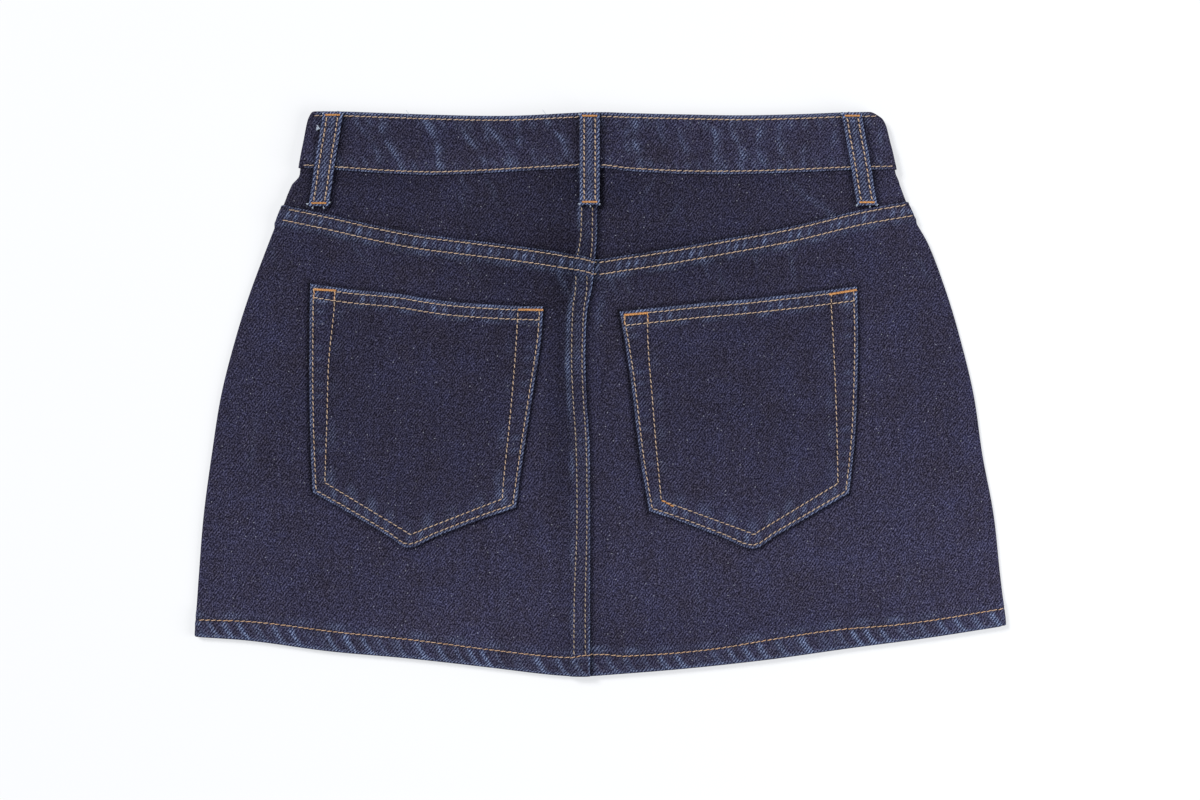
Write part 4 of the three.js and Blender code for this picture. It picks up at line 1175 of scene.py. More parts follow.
def back_loop(name, place):
    """A back loop: a grid along its course, with all its edges rounded and its ends frayed."""
    top, low, end = place
    high = float(band_top(top)) - LOOP_INSET
    across = (stops(LOOP_WIDTH, 0.7, 0.8, 0.8) - 0.5)[:, None] * LOOP_WIDTH
    y = mix(high, end, stops(high - end, 0.8, 0.7, 0.7))[None, :] + 0 * across
    frayed = 0.28 * wander(across, 3.1, top) * (bell(y - end, 0.8) + bell(y - high, 0.8))
    x = loop_middle(top, low, end, y) + across
    lift, wear = loop_top(place, x, y)
    border = np.minimum(LOOP_WIDTH / 2 - np.abs(across), np.minimum(high - y, y - end))
    rounded = rounding(border, 0.8) * LOOP_CLOTH / 2
    course = loop_course(*place)
    under = np.interp(y, course["y"], course["lift"])
    base = back_base(x, y)
    outer = np.stack([x, y + frayed, base + lift - rounded], axis=-1)
    inner = np.stack([x, y + frayed, base + under + rounded * 0.8], axis=-1)
    return wall_object("denim_" + name, outer, inner, wear, 0.95 + 0 * x)


def front_loop(name, place):
    """A front loop is a flat strip on the table. Only its upper face is rounded at the edges."""
    top, low = place
    start = float(band_top(top, 1.0)) - LOOP_INSET
    end = float(band_bottom(low, 1.0)) - FRONT_LOOP_REACH
    across = (stops(LOOP_WIDTH, 1.5, 0.8, 0.8) - 0.5)[:, None] * LOOP_WIDTH
    y = mix(start, end, stops(start - end, 1.5, 0.7, 0.7))[None, :] + 0 * across
    x = mix(top, low, (start - y) / (start - end)) + across
    border = np.minimum(LOOP_WIDTH / 2 - np.abs(across), np.minimum(start - y, y - end))
    rounded = rounding(border, 0.8) * LOOP_CLOTH / 2
    outer = np.stack([x, y, rounded], axis=-1)
    inner = np.stack([x, y, LOOP_CLOTH - rounded], axis=-1)
    return wall_object("denim_" + name, outer, inner, 0.4 * bell(border, 1.0), 1.02 + 0 * x)


for name, place in LOOPS.items():
    cloth_pieces[name] = back_loop(name, place)
for name, place in FRONT_LOOPS.items():
    cloth_pieces[name] = front_loop(name, place)

# %% [markdown]
# ## The front
#
# The front lies face down on the table, so only its thickness shows, round the edges. It is still
# made as cloth, with its own hem and the shield behind the opening, because the skirt is a reusable
# part that can be turned over.


# %% Front panels and fly shield
def front_panel(side, name):
    """One front: as plain as a panel can be, since it lies face down. Where the waistband's ends
    lap, the right front isn't tucked into it."""
    columns = Columns(side, side * GAP / 2, stops(240.0, 4.0), [], [], front=True)
    tuck = lambda x: 1.0 if side < 0 else np.clip((x - LAP_RAMP) / LAP_RAMP, 0, 1)
    upper_edge = lambda x, f: mix(DIP_HIGH(x, f) + GAP, CAUGHT(x, f), tuck(x))
    top = solve(columns, upper_edge, DIP_HIGH, np.linspace(0, 1, 4))
    dip = solve(columns, DIP_HIGH, DIP_LOW, np.linspace(0, 1, 5)[1:])
    body = solve(columns, DIP_LOW, ABOVE_HEM, stops(250.0, 5.0)[1:])
    low = solve(columns, ABOVE_HEM, HEM_TURN, stops(19.7, 1.2)[1:-1])
    y = np.concatenate([top, dip, body, low], axis=1)
    x = columns.x(y)
    lift = CLOTH + LAYER * in_band(y - band_bottom(x, 1.0))
    lift = lift + (HEM_STACK - CLOTH) * in_hem(y - hem(x, 1.0))
    outer, inner = columns.put(y, lift), columns.put(y, lift - CLOTH)
    level, plain = lambda px, py: 0 * px, lambda px, py: (0 * px, 0 * px)
    hem_outer, hem_inner, hem_wear = hem_walls(columns, level, plain)
    outer = np.concatenate([outer, hem_outer], axis=1)
    inner = np.concatenate([inner, hem_inner], axis=1)
    wear = np.concatenate([0 * y, hem_wear], axis=1)
    return wall_object(name, outer, inner, wear, 1.0 + 0 * wear)


def fly_shield():
    """A strip on the left front's inner face, down from the waistband."""
    columns = Columns(-1, -GAP / 2, np.linspace(0, 0.14, 10), [], [], front=True)
    top = solve(columns, DIP_HIGH, DIP_LOW, np.linspace(0, 1, 5))
    low = solve(columns, DIP_LOW, shifted(band_bottom, -95.0), np.linspace(0, 1, 30)[1:])
    y = np.concatenate([top, low], axis=1)
    x = columns.x(y)
    lift = mix(-GAP, CLOTH, in_band(y - band_bottom(x, 1.0)))
    outer, inner = columns.put(y, lift), columns.put(y, lift - CLOTH)
    return wall_object("denim_fly_shield", outer, inner, 0 * y, 1.0 + 0 * y)


for side, hand in ((-1, "left"), (1, "right")):
    cloth_pieces[f"front_panel_{hand}"] = front_panel(side, f"denim_front_panel_{hand}")
cloth_pieces["fly_shield"] = fly_shield()

# %% [markdown]
# ## Stitches
#
# Every stitch is a short length of thread that comes up through one hole and goes down the next.
# Each is a small tube with six sides, thick in the middle and sunk at both ends. A row is a path, a
# pitch, and the surface that the thread lies on. All stitches of a seam are joined in one mesh.

# %% Thread
THREAD = 0.30
RINGS = np.array([-1.0, -0.86, -0.45, 0.0, 0.45, 0.86, 1.0])
RING_SIZE = np.array([0.45, 0.85, 1.0, 1.0, 1.0, 0.85, 0.45])
RING_LIFT = np.array([-0.7, 0.1, 0.62, 0.72, 0.62, 0.1, -0.7])
CORNERS = 6


def place_along(path, pitch, jitter=0.0, seed=0.0):
    """Places at even steps along a path of points: the middle of each stitch, and its direction."""
    path = np.asarray(path, float)
    length = np.concatenate([[0], np.cumsum(np.linalg.norm(np.diff(path, axis=0), axis=1))])
    count = max(1, int(round(length[-1] / pitch)))
    middle = (np.arange(count) + 0.5) * length[-1] / count
    middle = middle + jitter * pitch * wander(np.arange(count), 2.7, seed)
    at = np.stack([np.interp(middle, length, path[:, k]) for k in range(2)], axis=1)
    ahead = np.stack([np.interp(middle + 0.5, length, path[:, k]) for k in range(2)], axis=1)
    behind = np.stack([np.interp(middle - 0.5, length, path[:, k]) for k in range(2)], axis=1)
    way = ahead - behind
    return at, way / np.linalg.norm(way, axis=1, keepdims=True)


def thread_tubes(at, way, half, size, surface, sink=0.0, tilt=0.0):
    """Tubes for many stitches at once. A ring of six points stands square to the stitch at each
    place along it, as high above the surface as the thread is there."""
    count = len(at)
    half = np.broadcast_to(half, (count,))[:, None]
    size = np.broadcast_to(size, (count,))[:, None]
    turn = np.broadcast_to(tilt, (count,))[:, None]
    c, s = np.cos(turn), np.sin(turn)
    way = np.concatenate([way[:, :1] * c - way[:, 1:] * s, way[:, :1] * s + way[:, 1:] * c], axis=1)
    x = at[:, :1] + way[:, :1] * half * RINGS
    y = at[:, 1:] + way[:, 1:] * half * RINGS
    z = surface(x, y) + size * RING_LIFT - sink
    angle = np.linspace(0, 2 * np.pi, CORNERS, endpoint=False)
    radius = (size * RING_SIZE)[:, :, None]
    out, up = radius * np.cos(angle), radius * np.sin(angle)
    px = x[:, :, None] - way[:, 1:, None] * out
    py = y[:, :, None] + way[:, :1, None] * out
    points = np.stack([px, py, z[:, :, None] + up], axis=-1)
    along = (half * RINGS)[:, :, None] + 0 * angle
    round_it = 0 * along + angle * 0.1
    return points, np.stack([along, round_it], axis=-1)


def sunk_shade(count, show):
    """How much painted shade each ring of a stitch gets where it goes into the cloth: 0 over the share
    of its length that shows, and up to 1 at its ends."""
    dark = ramp(np.abs(RINGS), show, show + 0.25)[None, :, None]
    return np.broadcast_to(dark, (count, len(RINGS), CORNERS))


def tube_faces(count, rings):
    """Faces of many tubes: four-cornered ones round them and one with six corners at each end."""
    ring, corner = np.meshgrid(np.arange(rings - 1), np.arange(CORNERS), indexing="ij")
    after = (corner + 1) % CORNERS
    one = np.stack([ring * CORNERS + corner, ring * CORNERS + after,
                    (ring + 1) * CORNERS + after, (ring + 1) * CORNERS + corner], axis=-1).reshape(-1, 4)
    start = np.arange(CORNERS)[None, ::-1]
    end = np.arange(CORNERS)[None, :] + (rings - 1) * CORNERS
    step = (np.arange(count) * rings * CORNERS)[:, None, None]
    ends = np.concatenate([start, end])
    return [(one[None] + step).reshape(-1, 4), (ends[None] + step).reshape(-1, CORNERS)]


class Sewing:
    """Collects rows of stitches and makes them into one mesh."""

    def __init__(self, name):
        self.name, self.points, self.uv, self.shade, self.dark = name, [], [], [], []

    def row(self, path, surface, pitch=3.6, cover=0.97, size=THREAD, sink=0.0, shade=0.0, seed=0.0,
            tilt=0.16, show=0.8):
        """A row of stitches along a path, each a little longer or more tilted than the next."""
        at, way = place_along(path, pitch, 0.05, seed)
        number = np.arange(len(at))
        half = pitch * cover / 2 * (1 + 0.07 * wander(number, 3.3, seed))
        tilt = tilt + 0.06 * wander(number, 2.3, seed + 1)
        self.add(*thread_tubes(at, way, half, size, surface, sink, tilt), shade, number, seed, show)

    def tack(self, start, end, surface, width=1.5, size=0.36, shade=1.0):
        """A bar tack: threads laid side by side across a short line, close as satin."""
        path = np.array([start, end], float)
        at, way = place_along(path, 0.52)
        across = np.stack([-way[:, 1], way[:, 0]], axis=1)
        number = np.arange(len(at))
        tilt = np.where(number % 2 == 0, 0.28, -0.28)
        half = width / 2 * (1 + 0.12 * wander(number, 2.9, start[0]))
        self.add(*thread_tubes(at, across, half, size, surface, -0.12, tilt), shade, number, 2.0, 0.85)

    def strand(self, path, surface, size=0.13, shade=-1.0):
        """A loose thread along a few points: short tubes that overlap."""
        self.row(path, surface, pitch=0.9, cover=1.5, size=size, sink=-0.2, shade=shade, tilt=0.0, show=1.0)

    def add(self, points, uv, shade, number, seed, show):
        """Keeps the points of some stitches, with how orange each is and how much painted shade
        darkens its ends.
        """
        count = points.shape[0]
        self.dark.append(sunk_shade(count, show).ravel())
        self.points.append(points.reshape(-1, 3))
        self.uv.append(uv.reshape(-1, 2))
        value = shade + 0.12 * wander(number, 4.7, seed + 2)
        self.shade.append(np.repeat(value, points.shape[1] * points.shape[2]))

    def make(self):
        """All the stitches as one object."""
        points = np.concatenate(self.points)
        count = len(points) // (len(RINGS) * CORNERS)
        faces = turn_outwards(points, tube_faces(count, len(RINGS)))
        data = {"orange": np.concatenate(self.shade), "sunk_shade": np.concatenate(self.dark)}
        thing = make_object(self.name, points, faces, data, np.concatenate(self.uv))
        print(self.name, count, "stitches")
        return thing


def along_x(curve, start, end, step=2.0):
    """A path along a curve over x, as points."""
    x = np.linspace(start, end, max(2, int(abs(end - start) / step)))
    return np.stack([x, curve(x)], axis=1)


# %% [markdown]
# The rows follow the seams that they hold. A twin needle sews the two rows of the yoke seam and of
# the centre seam, and the centre rows lie deep in the cloth, so less of each stitch shows. The
# waistband, the pockets and the hem are sewn with the same tan thread.


# %% Surfaces for the thread
def on_back(lift_of):
    """A surface at a lift over the back's inner face."""
    return lambda x, y: back_height(x, y) + lift_of(x, y)[0]


def on_sides(top):
    """The outer face of whichever side of the centre seam is there."""
    def height(x, y):
        left, right = top(-1, x, y)[0], top(1, x, y)[0]
        return back_height(x, y) + np.where(x < centre_seam(y), left, right)
    return height


on_body, on_yokes = on_sides(panel_top), on_sides(yoke_top)

# %% Sew the yoke seam, the centre seam and the hem
SIDE_LEFT, SIDE_RIGHT = -193.0, 189.0
seam_rows = Sewing("stitches_yoke_seam")
for number, depth in enumerate((UPPER_ROW, LOWER_ROW)):
    reach, row = 4.0 * number, shifted(yoke, -depth)
    seam_rows.row(along_x(row, SIDE_LEFT - reach, -2.5), on_body, seed=1 + number)
    seam_rows.row(along_x(row, -1.0, SIDE_RIGHT + reach), on_body, seed=3 + number)
centre_rows = Sewing("stitches_centre_seam")
for key in ("left", "right"):
    for start, end, count, surface, shade, seed in (
            (73.5, float(hem(-8.0)) + 13.5, 130, on_body, -0.75, 5),
            (116.0, 84.5, 20, on_yokes, -0.6, 6)):
        y = np.linspace(start, end, count)
        path = np.stack([centre_seam(y) + read(CENTRE_ROWS, "y", key, y), y], axis=1)
        centre_rows.row(path, surface, pitch=3.2, size=0.32, sink=0.06, shade=shade, seed=seed, show=0.36)
hem_row = Sewing("stitches_hem")
path = along_x(lambda x: hem(x) + read(HEM_ROW, "x", "up", x), -249.0, 249.5)
hem_row.row(path, on_body, shade=0.3, seed=7)

# %% Sew the waistband
band_rows = Sewing("stitches_waistband")
on_band = on_back(band_top_lift)
for curve, left, right, seed in (
        (shifted(band_bottom, BAND_LOW_ROW), -184.0, 180.5, 8),
        (shifted(band_top, -BAND_TOP_ROW), -177.5, 170.5, 9)):
    band_rows.row(along_x(curve, left, -13.0), on_band, seed=seed)
    band_rows.row(along_x(curve, 0.0, right), on_band, seed=seed)

# %% Sew the belt loops
loop_rows = Sewing("stitches_belt_loops")
for place in LOOPS.values():
    surface = lambda x, y, place=place: back_base(x, y) + loop_top(place, x, y)[0]
    high = float(band_top(place[0])) - LOOP_INSET
    y = np.linspace(high - 3.2, place[2] + 3.0, 40)
    for across in (-LOOP_ROWS, LOOP_ROWS):
        path = np.stack([loop_middle(*place, y) + across, y], axis=1)
        loop_rows.row(path, surface, pitch=3.4, size=0.38, seed=place[0] + across, show=0.52)
    for level in (high - 2.2, place[2] + 1.9):
        middle = float(loop_middle(*place, level))
        loop_rows.tack((middle - 4.6, level), (middle + 4.6, level), surface, width=1.3)

# %% Sew the pockets
def side_path(rows, key, inset, start, end, count):
    """A path between two heights along one side, from the table that gives its x."""
    y = np.linspace(start, end, count)
    return np.stack([read(rows, "y", key, y) + inset, y], axis=1)


FROM_SIDE = 2.2
SHOWS = (0.46, 0.7, 0.46)
pocket_rows = Sewing("stitches_pockets")
for side, hand in ((-1, "left"), (1, "right")):
    pocket = POCKETS[hand]
    surface = on_back(lambda x, y, side=side, pocket=pocket: pocket_top(side, pocket, x, y))
    edges, sides, rows, low_row = (pocket[key] for key in ("edges", "sides", "rows", "low_row"))
    upper, lower = pocket["hem_rows"]
    share = np.linspace(0.012, 0.988, 70)
    mouth = read(edges, "share", "mouth", share)
    for depth in (upper, lower):
        path = np.stack([between_sides(pocket, share, mouth - depth), mouth - depth], axis=1)
        pocket_rows.row(path, surface, pitch=3.6, seed=10 + side)
    high_left, high_right = mouth[0] - upper, mouth[-1] - upper
    share = np.linspace(0.02, 0.98, 60)
    y = read(edges, "share", "low", share) + 2.5
    outer_rows = (
        side_path(sides, "left", FROM_SIDE, high_left, edges["low"][0] + 1.6, 50),
        np.stack([between_sides(pocket, share, y), y], axis=1),
        side_path(sides, "right", -FROM_SIDE, edges["low"][-1] + 1.6, high_right, 50))
    inner_rows = (
        side_path(rows, "left", 0.0, high_left - 1.0, low_row["y"][0], 40),
        np.stack([low_row["x"], low_row["y"]], axis=1),
        side_path(rows, "right", 0.0, low_row["y"][-1], high_right - 1.0, 40))
    for paths, seed in ((outer_rows, 12), (inner_rows, 14)):
        for path, show in zip(paths, SHOWS):
            pocket_rows.row(path, surface, pitch=3.5, seed=seed + side, show=show)
    for x0, y0, x1, y1 in pocket["tacks"]:
        pocket_rows.tack((x0, y0), (x1, y1), surface, width=1.5)
    for x0, y0, x1, y1 in pocket["legs"]:
        pocket_rows.row([(x0, y0), (x1, y1)], surface, pitch=3.0, cover=0.95, shade=0.7)
# The right pocket ends in three thick orange stitches, and its surface is the last one above
path = [(37.6, -65.6), (45.6, -69.9)]
pocket_rows.row(path, surface, pitch=2.7, cover=1.0, size=0.5, sink=-0.25, shade=1.0)

# %% [markdown]
# Cut ends fray. A tuft is a fan of short loose threads at a corner of a belt loop. Two long
# ones stick out of the waistband's top edge as well.

# %% Frayed threads
TUFTS = table("loop across y angle spread count length", [
    (0, -6.4, 1.6, 200, 70, 9, 1.5), (0, 5.8, 2.0, 20, 60, 7, 1.3), (0, -3.4, -0.4, 255, 60, 6, 1.2),
    (0, 3.2, -0.4, 285, 60, 6, 1.2), (0, -7.0, 48.0, 165, 110, 20, 2.2), (0, -5.8, 56.8, 120, 60, 6, 1.0),
    (0, 5.8, 56.6, 60, 60, 6, 1.0), (1, -5.6, 1.0, 215, 70, 8, 1.4), (1, 5.4, 1.0, 330, 70, 7, 1.3),
    (1, 0.5, -0.4, 270, 60, 5, 1.1), (1, -6.0, 55.6, 140, 60, 6, 1.1), (2, -5.8, 0.6, 220, 70, 9, 1.4),
    (2, 5.4, 0.8, 320, 70, 8, 1.4), (2, 1.5, -0.4, 275, 60, 5, 1.1), (2, -5.9, 56.0, 130, 60, 6, 1.1),
])
frays = Sewing("frayed_threads")
places = list(LOOPS.values())
for which, across, up, angle, spread, count, length in zip(*TUFTS.values()):
    place = places[int(which)]
    level = place[2] + up
    x = float(loop_middle(*place, level)) + across
    number = np.arange(int(count))
    turn = np.radians(angle + spread * (number / count - 0.45) + 9 * wander(number, 2.9, across))
    way = np.stack([np.cos(turn), np.sin(turn)], axis=1)
    half = length * (0.45 + 0.15 * wander(number, 2.3, up))
    at = np.array([[x, level]]) + way * half[:, None] * 0.7
    surface = lambda x, y, place=place: back_base(x, y) + loop_top(place, x, y)[0] - 0.55
    frays.add(*thread_tubes(at, way, 1.25 * half, 0.19, surface), 0.0, number, across, 1.0)
LONG_THREADS = [
    [(-32.6, 169.5), (-33.6, 172.5), (-35.9, 175.6)],
    [(-119.5, 171.0), (-118.9, 173.6), (-120.2, 175.4)],
]
for path in LONG_THREADS:
    frays.strand(path, lambda x, y: 0 * x + back_base(x, 0 * x + 170.0) + BAND_STACK - 0.4, 0.11, 0.8)
print("tufts:", len(TUFTS["loop"]))

# %% Make the sewing
sewing = [s.make() for s in (seam_rows, centre_rows, hem_row, band_rows, loop_rows, pocket_rows)]
fray_object = frays.make()

# %% [markdown]
# ## Shader maths in Python
#
# A material is a graph of nodes, but its maths reads better as an expression. This small class wraps
# a socket, and its operators add the Math nodes.


# %% Sockets with operators
class Value:
    """A number in a shader: a node's output that Python's operators work on."""

    def __init__(self, shader, socket):
        self.shader, self.socket = shader, socket

    def math(self, operation, *others, clamp=False):
        """A Math node with this number as its first input."""
        inputs = dict(enumerate((self,) + others))
        settings = {"operation": operation, "use_clamp": clamp}
        return self.shader.node("ShaderNodeMath", settings, inputs)["Value"]

    def __add__(self, other):
        return self.math("ADD", other)

    def __sub__(self, other):
        return self.math("SUBTRACT", other)

    def __rsub__(self, other):
        return self.shader.node("ShaderNodeMath", {"operation": "SUBTRACT"}, {0: other, 1: self})["Value"]

    def __mul__(self, other):
        return self.math("MULTIPLY", other)

    def __pow__(self, other):
        return self.math("POWER", other)

    __radd__, __rmul__ = __add__, __mul__

    def clamped(self):
        """The same number, kept between 0 and 1."""
        return self.math("ADD", 0.0, clamp=True)


class Shader:
    """A material and one method that adds any node to it."""

    def __init__(self, name):
        self.material = bpy.data.materials.new(name)
        self.material.use_nodes = True
        self.tree = self.material.node_tree
        self.tree.nodes.clear()

    def node(self, kind, settings=None, inputs=None):
        """Adds a node, sets it up, joins or fills its inputs, and returns its outputs by name."""
        made = self.tree.nodes.new(kind)
        for key, value in (settings or {}).items():
            setattr(made, key, value)
        for key, value in (inputs or {}).items():
            if isinstance(value, Value):
                self.tree.links.new(value.socket, made.inputs[key])
            else:
                made.inputs[key].default_value = value
        return {socket.name: Value(self, socket) for socket in made.outputs if socket.enabled}

    def blend(self, factor, a, b, how="MIX"):
        """A Mix node for colours, whose colour inputs are number 6 and 7."""
        settings = {"data_type": "RGBA", "blend_type": how}
        return self.node("ShaderNodeMix", settings, {0: factor, 6: a, 7: b})["Result"]

    def bump(self, height, strength, distance):
        """A Bump node's normal. The distance is in metres."""
        inputs = {"Strength": strength, "Distance": distance, "Height": height}
        return self.node("ShaderNodeBump", {}, inputs)["Normal"]

    def finish(self, constants, **links):
        """The surface: constants on the shader's own sockets, and what varies linked to it."""
        surface = self.node("ShaderNodeBsdfPrincipled", {}, {**constants, **links})["BSDF"]
        self.node("ShaderNodeOutputMaterial", {}, {"Surface": surface})
        return self.material


# %% [markdown]
# ## Denim
#
# Denim is a twill: blue warp threads run over three white weft threads and under one, and each next
# thread is one step further along, so fine ridges run up to the right. The lines come from a wave
# over the grain, broken up by noise as the yarn is uneven. Worn places lose the blue first on top of
# the ridges, so wear doesn't just fade the colour, it brings out the weave.

# %% Denim material
DENIM_DARK = (0.0085, 0.0075, 0.0200, 1)
DENIM_MID = (0.090, 0.086, 0.150, 1)
WORN_DARK = (0.020, 0.028, 0.082, 1)
WORN_PALE = (0.290, 0.360, 0.570, 1)
DENIM_NUB = (0.36, 0.38, 0.45, 1)
DENIM_WARM, DENIM_COOL = (1.05, 1.0, 0.92, 1), (0.95, 1.0, 1.10, 1)


def denim_material(name):
    """Dark and pale threads by the twill, then its tone with the painted light and shade, the worn
    places and white nubs.
    """
    shader = Shader(name)
    grain = shader.node("ShaderNodeUVMap", {"uv_map": "grain"})["UV"]
    wear = shader.node("ShaderNodeAttribute", {"attribute_name": "wear"})["Fac"]
    tone = shader.node("ShaderNodeAttribute", {"attribute_name": "tone"})["Fac"]

    def stretched(scale, turn=0.0):
        """The cloth's grain, scaled and turned."""
        inputs = {"Vector": grain, "Scale": scale, "Rotation": (0, 0, turn)}
        return shader.node("ShaderNodeMapping", {}, inputs)["Vector"]

    def noise(vector, scale, detail=2.0, rough=0.5):
        """Noise over the grain, from 0 to 1."""
        settings = {"noise_dimensions": "2D"}
        inputs = {"Vector": vector, "Scale": scale, "Detail": detail, "Roughness": rough}
        return shader.node("ShaderNodeTexNoise", settings, inputs)["Fac"]

    twill = shader.node("ShaderNodeTexWave", {"wave_type": "BANDS", "bands_direction": "X"}, {
        "Vector": stretched((1000, 1000, 1), math.radians(37)), "Scale": 0.19, "Distortion": 1.5,
        "Detail": 2.0, "Detail Scale": 1.2})["Fac"]
    yarn = noise(stretched((1450, 800, 1)), 1.0, 1.0, 0.5)
    fleck = noise(stretched((1000, 1000, 1), math.radians(20)), 1.2, 1.0, 0.5)
    mottle = noise(stretched((1, 1, 1)), 330.0, 1.0, 0.5)
    patch = noise(stretched((1, 1, 1)), 210.0, 1.0, 0.5)
    cloud = noise(stretched((1, 1, 1)), 45.0, 3.0, 0.6)
    nub = noise(stretched((1000, 1000, 1)), 0.8, 0.0, 0.5)
    streak = noise(stretched((420, 16, 1)), 1.0, 2.0, 0.6)

    rib = (twill - 0.5) * (patch * 2.4 - 0.75)
    weave = (rib * 0.72 + (yarn - 0.5) * 1.5 + (fleck - 0.5) * 1.7 + 0.42).clamped()
    body = shader.blend(weave**1.5, DENIM_DARK, DENIM_MID)
    # The tone attribute brings the painted light and shade, which darken or lighten the colour here
    shade = tone * (0.25 + cloud * 0.40 + mottle * 0.8 + streak * 0.36)
    tinted = shader.blend(1.0, body, shader.node(
        "ShaderNodeCombineColor", {}, {"Red": shade, "Green": shade, "Blue": shade})["Color"], "MULTIPLY")
    tick = ((twill - 0.5) * 1.3 + (yarn - 0.5) * 1.8 + (fleck - 0.5) * 2.2 + 0.36).clamped()
    rubbed = (wear * (0.35 + cloud * 0.7 + weave * 0.5)).clamped()
    hue = shader.blend((cloud * 1.6 + mottle * 0.8 - 0.7).clamped(), DENIM_WARM, DENIM_COOL)
    cast = shader.blend(1.0, tinted, hue, "MULTIPLY")
    worn = shader.blend(rubbed, cast, shader.blend(tick**1.4, WORN_DARK, WORN_PALE))
    white = (nub * 12.0 - 10.3).clamped()
    colour = shader.blend(white * 0.8, worn, DENIM_NUB)

    height = twill * 0.5 + yarn * 0.6 + fleck * 0.6
    bump = shader.bump(height, 0.55, 0.00035)
    constants = {"Roughness": 0.95, "Specular IOR Level": 0.06}
    return shader.finish(constants, **{"Base Color": colour, "Normal": bump})


# %% [markdown]
# ## Thread and brass
#
# Topstitch thread is two or three strands twisted together, so each stitch has slanting dark lines.
# The tacks are the same thread packed side by side, where its orange shows more. The button is
# brushed brass, dulled in patches.

# %% Thread and brass materials
THREAD_TAN = (0.88, 0.675, 0.50, 1)
THREAD_PALE = (0.66, 0.58, 0.46, 1)
THREAD_ORANGE = (0.90, 0.43, 0.14, 1)
THREAD_DARK = (0.12, 0.048, 0.022, 1)
# Painted shade for the ends of a stitch, where it goes into the cloth
THREAD_SUNK_SHADE = (0.026, 0.011, 0.010, 1)


def thread_material(name):
    """Tan thread with the dark lines of its twist, orange in the tacks, and painted shade where it sinks.
    """
    shader = Shader(name)
    grain = shader.node("ShaderNodeUVMap", {"uv_map": "grain"})["UV"]
    orange = shader.node("ShaderNodeAttribute", {"attribute_name": "orange"})["Fac"]
    vector = shader.node("ShaderNodeMapping", {}, {"Vector": grain, "Scale": (1000, 1000, 1)})["Vector"]
    parts = shader.node("ShaderNodeSeparateXYZ", {}, {"Vector": vector})
    down = shader.node("ShaderNodeAttribute", {"attribute_name": "sunk_shade"})["Fac"]
    twist = (parts["X"] * 4.2 + parts["Y"] * 20.0).math("SINE") * 0.5 + 0.5
    place = shader.node("ShaderNodeTexCoord")["Object"]
    fuzz = shader.node("ShaderNodeTexNoise", {}, {"Vector": place, "Scale": 900.0, "Detail": 2.0})["Fac"]
    tan = shader.blend(orange.clamped(), THREAD_TAN, THREAD_ORANGE)
    pale = shader.blend((orange * -1.0).clamped(), tan, THREAD_PALE)
    strands = shader.blend(((1 - twist) * 0.65 + (fuzz - 0.5) * 1.4).clamped(), pale, THREAD_DARK)
    # Painted shade at the ends of each stitch, read from the mesh's data
    dark = shader.blend((down * (0.7 + fuzz * 0.6)).clamped(), strands, THREAD_SUNK_SHADE)
    bump = shader.bump(twist, 0.5, 0.00015)
    constants = {"Roughness": 0.62, "Specular IOR Level": 0.3}
    return shader.finish(constants, **{"Base Color": dark, "Normal": bump})


def fray_material(name):
    """Loose weft is white cotton, a little blue from the dye around it."""
    shader = Shader(name)
    return shader.finish({"Base Color": (0.44, 0.50, 0.60, 1), "Roughness": 0.9, "Specular IOR Level": 0.1})


def brass_material(name):
    """Brass that noise makes darker in places and unevenly smooth."""
    shader = Shader(name)
    place = shader.node("ShaderNodeTexCoord")["Object"]
    brushed = shader.node("ShaderNodeTexNoise", {}, {"Vector": place, "Scale": 700.0, "Detail": 3.0})["Fac"]
    patina = shader.node("ShaderNodeTexNoise", {}, {"Vector": place, "Scale": 160.0, "Detail": 3.0})["Fac"]
    colour = shader.blend(patina, (0.32, 0.20, 0.10, 1), (0.60, 0.44, 0.26, 1))
    bump = shader.bump(brushed, 0.2, 0.0001)
    links = {"Base Color": colour, "Roughness": 0.3 + brushed * 0.25, "Normal": bump}
    return shader.finish({"Metallic": 0.9}, **links)


denim = denim_material("indigo_denim_twill")
thread = thread_material("topstitch_thread_twisted")
weft = fray_material("loose_weft")
brass = brass_material("antique_brass_brushed")

# %% [markdown]
# ## Join the pieces to the frame
#
# Each cloth stands for one solid, which stays behind as its collision. A table also gives how large
# each sheet of cloth was when it was cut, before it was folded, turned and sewn, which the loop
# reads and does not use.

# %% Give every piece its material and join it to the frame
LOOP_CUT = (0.016, 0.075, 0.00095)
CUTS = {
    "back_panel_left": (0.275, 0.315, 0.074), "back_panel_right": (0.275, 0.315, 0.075),
    "back_yoke_left": (0.222, 0.075, 0.0125), "back_yoke_right": (0.220, 0.075, 0.0120),
    "back_pocket_left": (0.165, 0.185, 0.0245), "back_pocket_right": (0.165, 0.185, 0.0245),
    "front_panel_left": (0.260, 0.345, 0.080), "front_panel_right": (0.260, 0.345, 0.080),
    "fly_shield": (0.036, 0.097, 0.0034), "waistband": (0.790, 0.090, 0.070),
    **dict.fromkeys((*LOOPS, *FRONT_LOOPS), LOOP_CUT),
}
for node, piece in cloth_pieces.items():
    piece.data.materials.append(denim)
    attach(piece, "root")
    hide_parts(node)
    width, length, area = CUTS[node]
for piece in sewing:
    piece.data.materials.append(thread)
    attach(piece, "root")
fray_object.data.materials.append(weft)
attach(fray_object, "root")
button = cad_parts["waist_button"]
button.data.materials.clear()
button.data.materials.append(brass)

# %% [markdown]
# ## Table, light and camera
#
# The photo is a catalogue picture: the table is so bright that shadows almost vanish on it. The
# table is white and gives off a little light of its own, the sky is even, and one large lamp at the
# upper left gives the seams their shape.

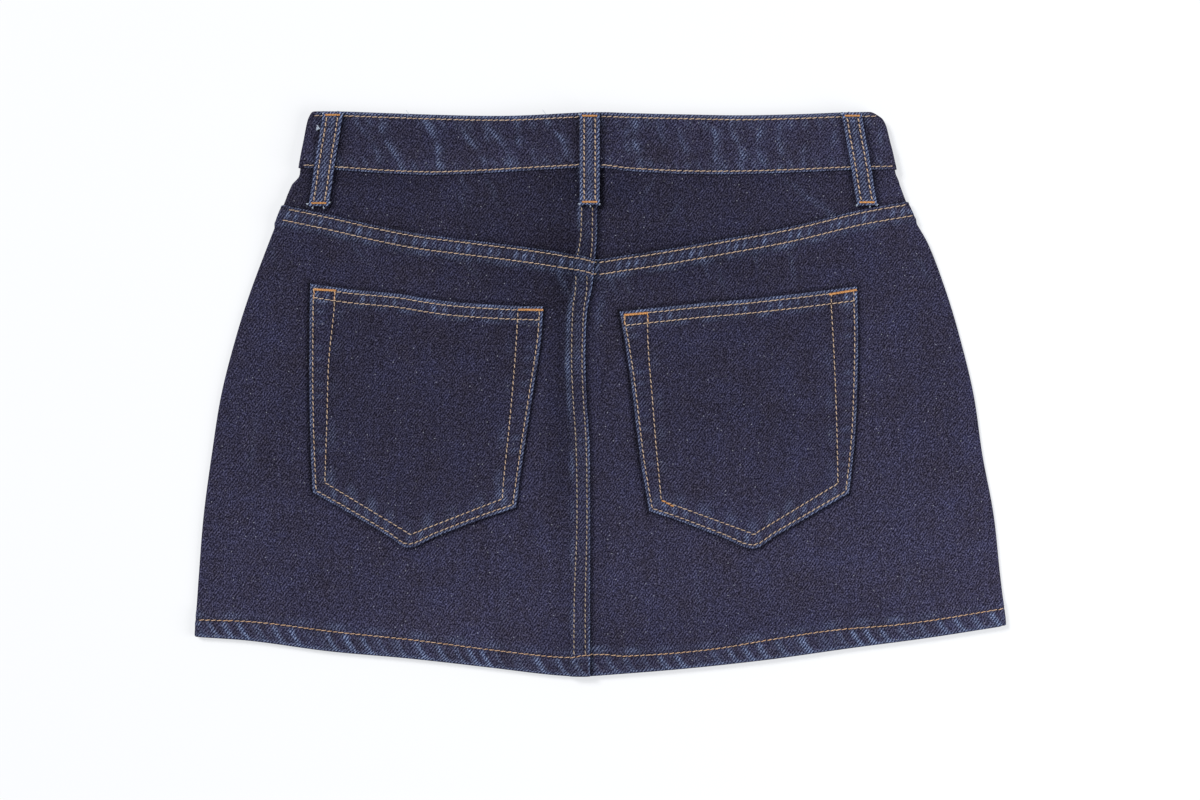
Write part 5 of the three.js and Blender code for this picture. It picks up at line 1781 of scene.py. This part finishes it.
# %% Table
TABLE_SIZE = 4000.0
signs = np.array([(-1, -1, 0), (1, -1, 0), (1, 1, 0), (-1, 1, 0)])
table_top = make_object("table_top", signs * TABLE_SIZE / 2, [np.array([[0, 1, 2, 3]])])
shader = Shader("white_table")
table_top.data.materials.append(shader.finish({
    "Base Color": (0.43, 0.43, 0.43, 1), "Roughness": 0.9, "Specular IOR Level": 0.1,
    "Emission Color": (0.945, 0.965, 1.0, 1), "Emission Strength": 0.595}))

# %% Light
world = bpy.data.worlds.new("even_sky")
bpy.context.scene.world = world
world.use_nodes = True
world.node_tree.nodes["Background"].inputs["Color"].default_value = (0.97, 0.985, 1.0, 1)
world.node_tree.nodes["Background"].inputs["Strength"].default_value = 0.2


def area_lamp(name, place, aim, size, power):
    """A square lamp that faces a point, both in millimetres."""
    data = bpy.data.lights.new(name, "AREA")
    data.size, data.energy = size * MM, power
    lamp = bpy.data.objects.new(name, data)
    bpy.context.scene.collection.objects.link(lamp)
    start, target = np.array(place, float) * MM, np.array(aim, float) * MM
    lamp.location = start
    lamp.rotation_euler = Vector(target - start).to_track_quat("-Z", "Y").to_euler()
    return lamp


area_lamp("key_lamp", (-4200, 3500, 6100), (0, 0, 0), 2400, 490)
area_lamp("fill_lamp", (1700, -500, 1200), (0, 0, 0), 1400, 25)

# %% Camera
PIXEL = 0.62
LENS, SENSOR = 85.0, 36.0
PHOTO_WIDTH = 1200
VIEW_CENTRE = (-0.43, -3.63)
SHARP_HEIGHT = 4.0
camera_data = bpy.data.cameras.new("camera")
camera_data.lens, camera_data.sensor_width = LENS, SENSOR
camera_data.clip_end = 20.0
camera = bpy.data.objects.new("camera", camera_data)
bpy.context.scene.collection.objects.link(camera)
distance = PIXEL * PHOTO_WIDTH / SENSOR * LENS
camera.location = (VIEW_CENTRE[0] * MM, VIEW_CENTRE[1] * MM, (distance + SHARP_HEIGHT) * MM)
bpy.context.scene.camera = camera
bpy.context.scene.view_settings.view_transform = "Standard"
print("camera stands", round(distance), "mm above the skirt")
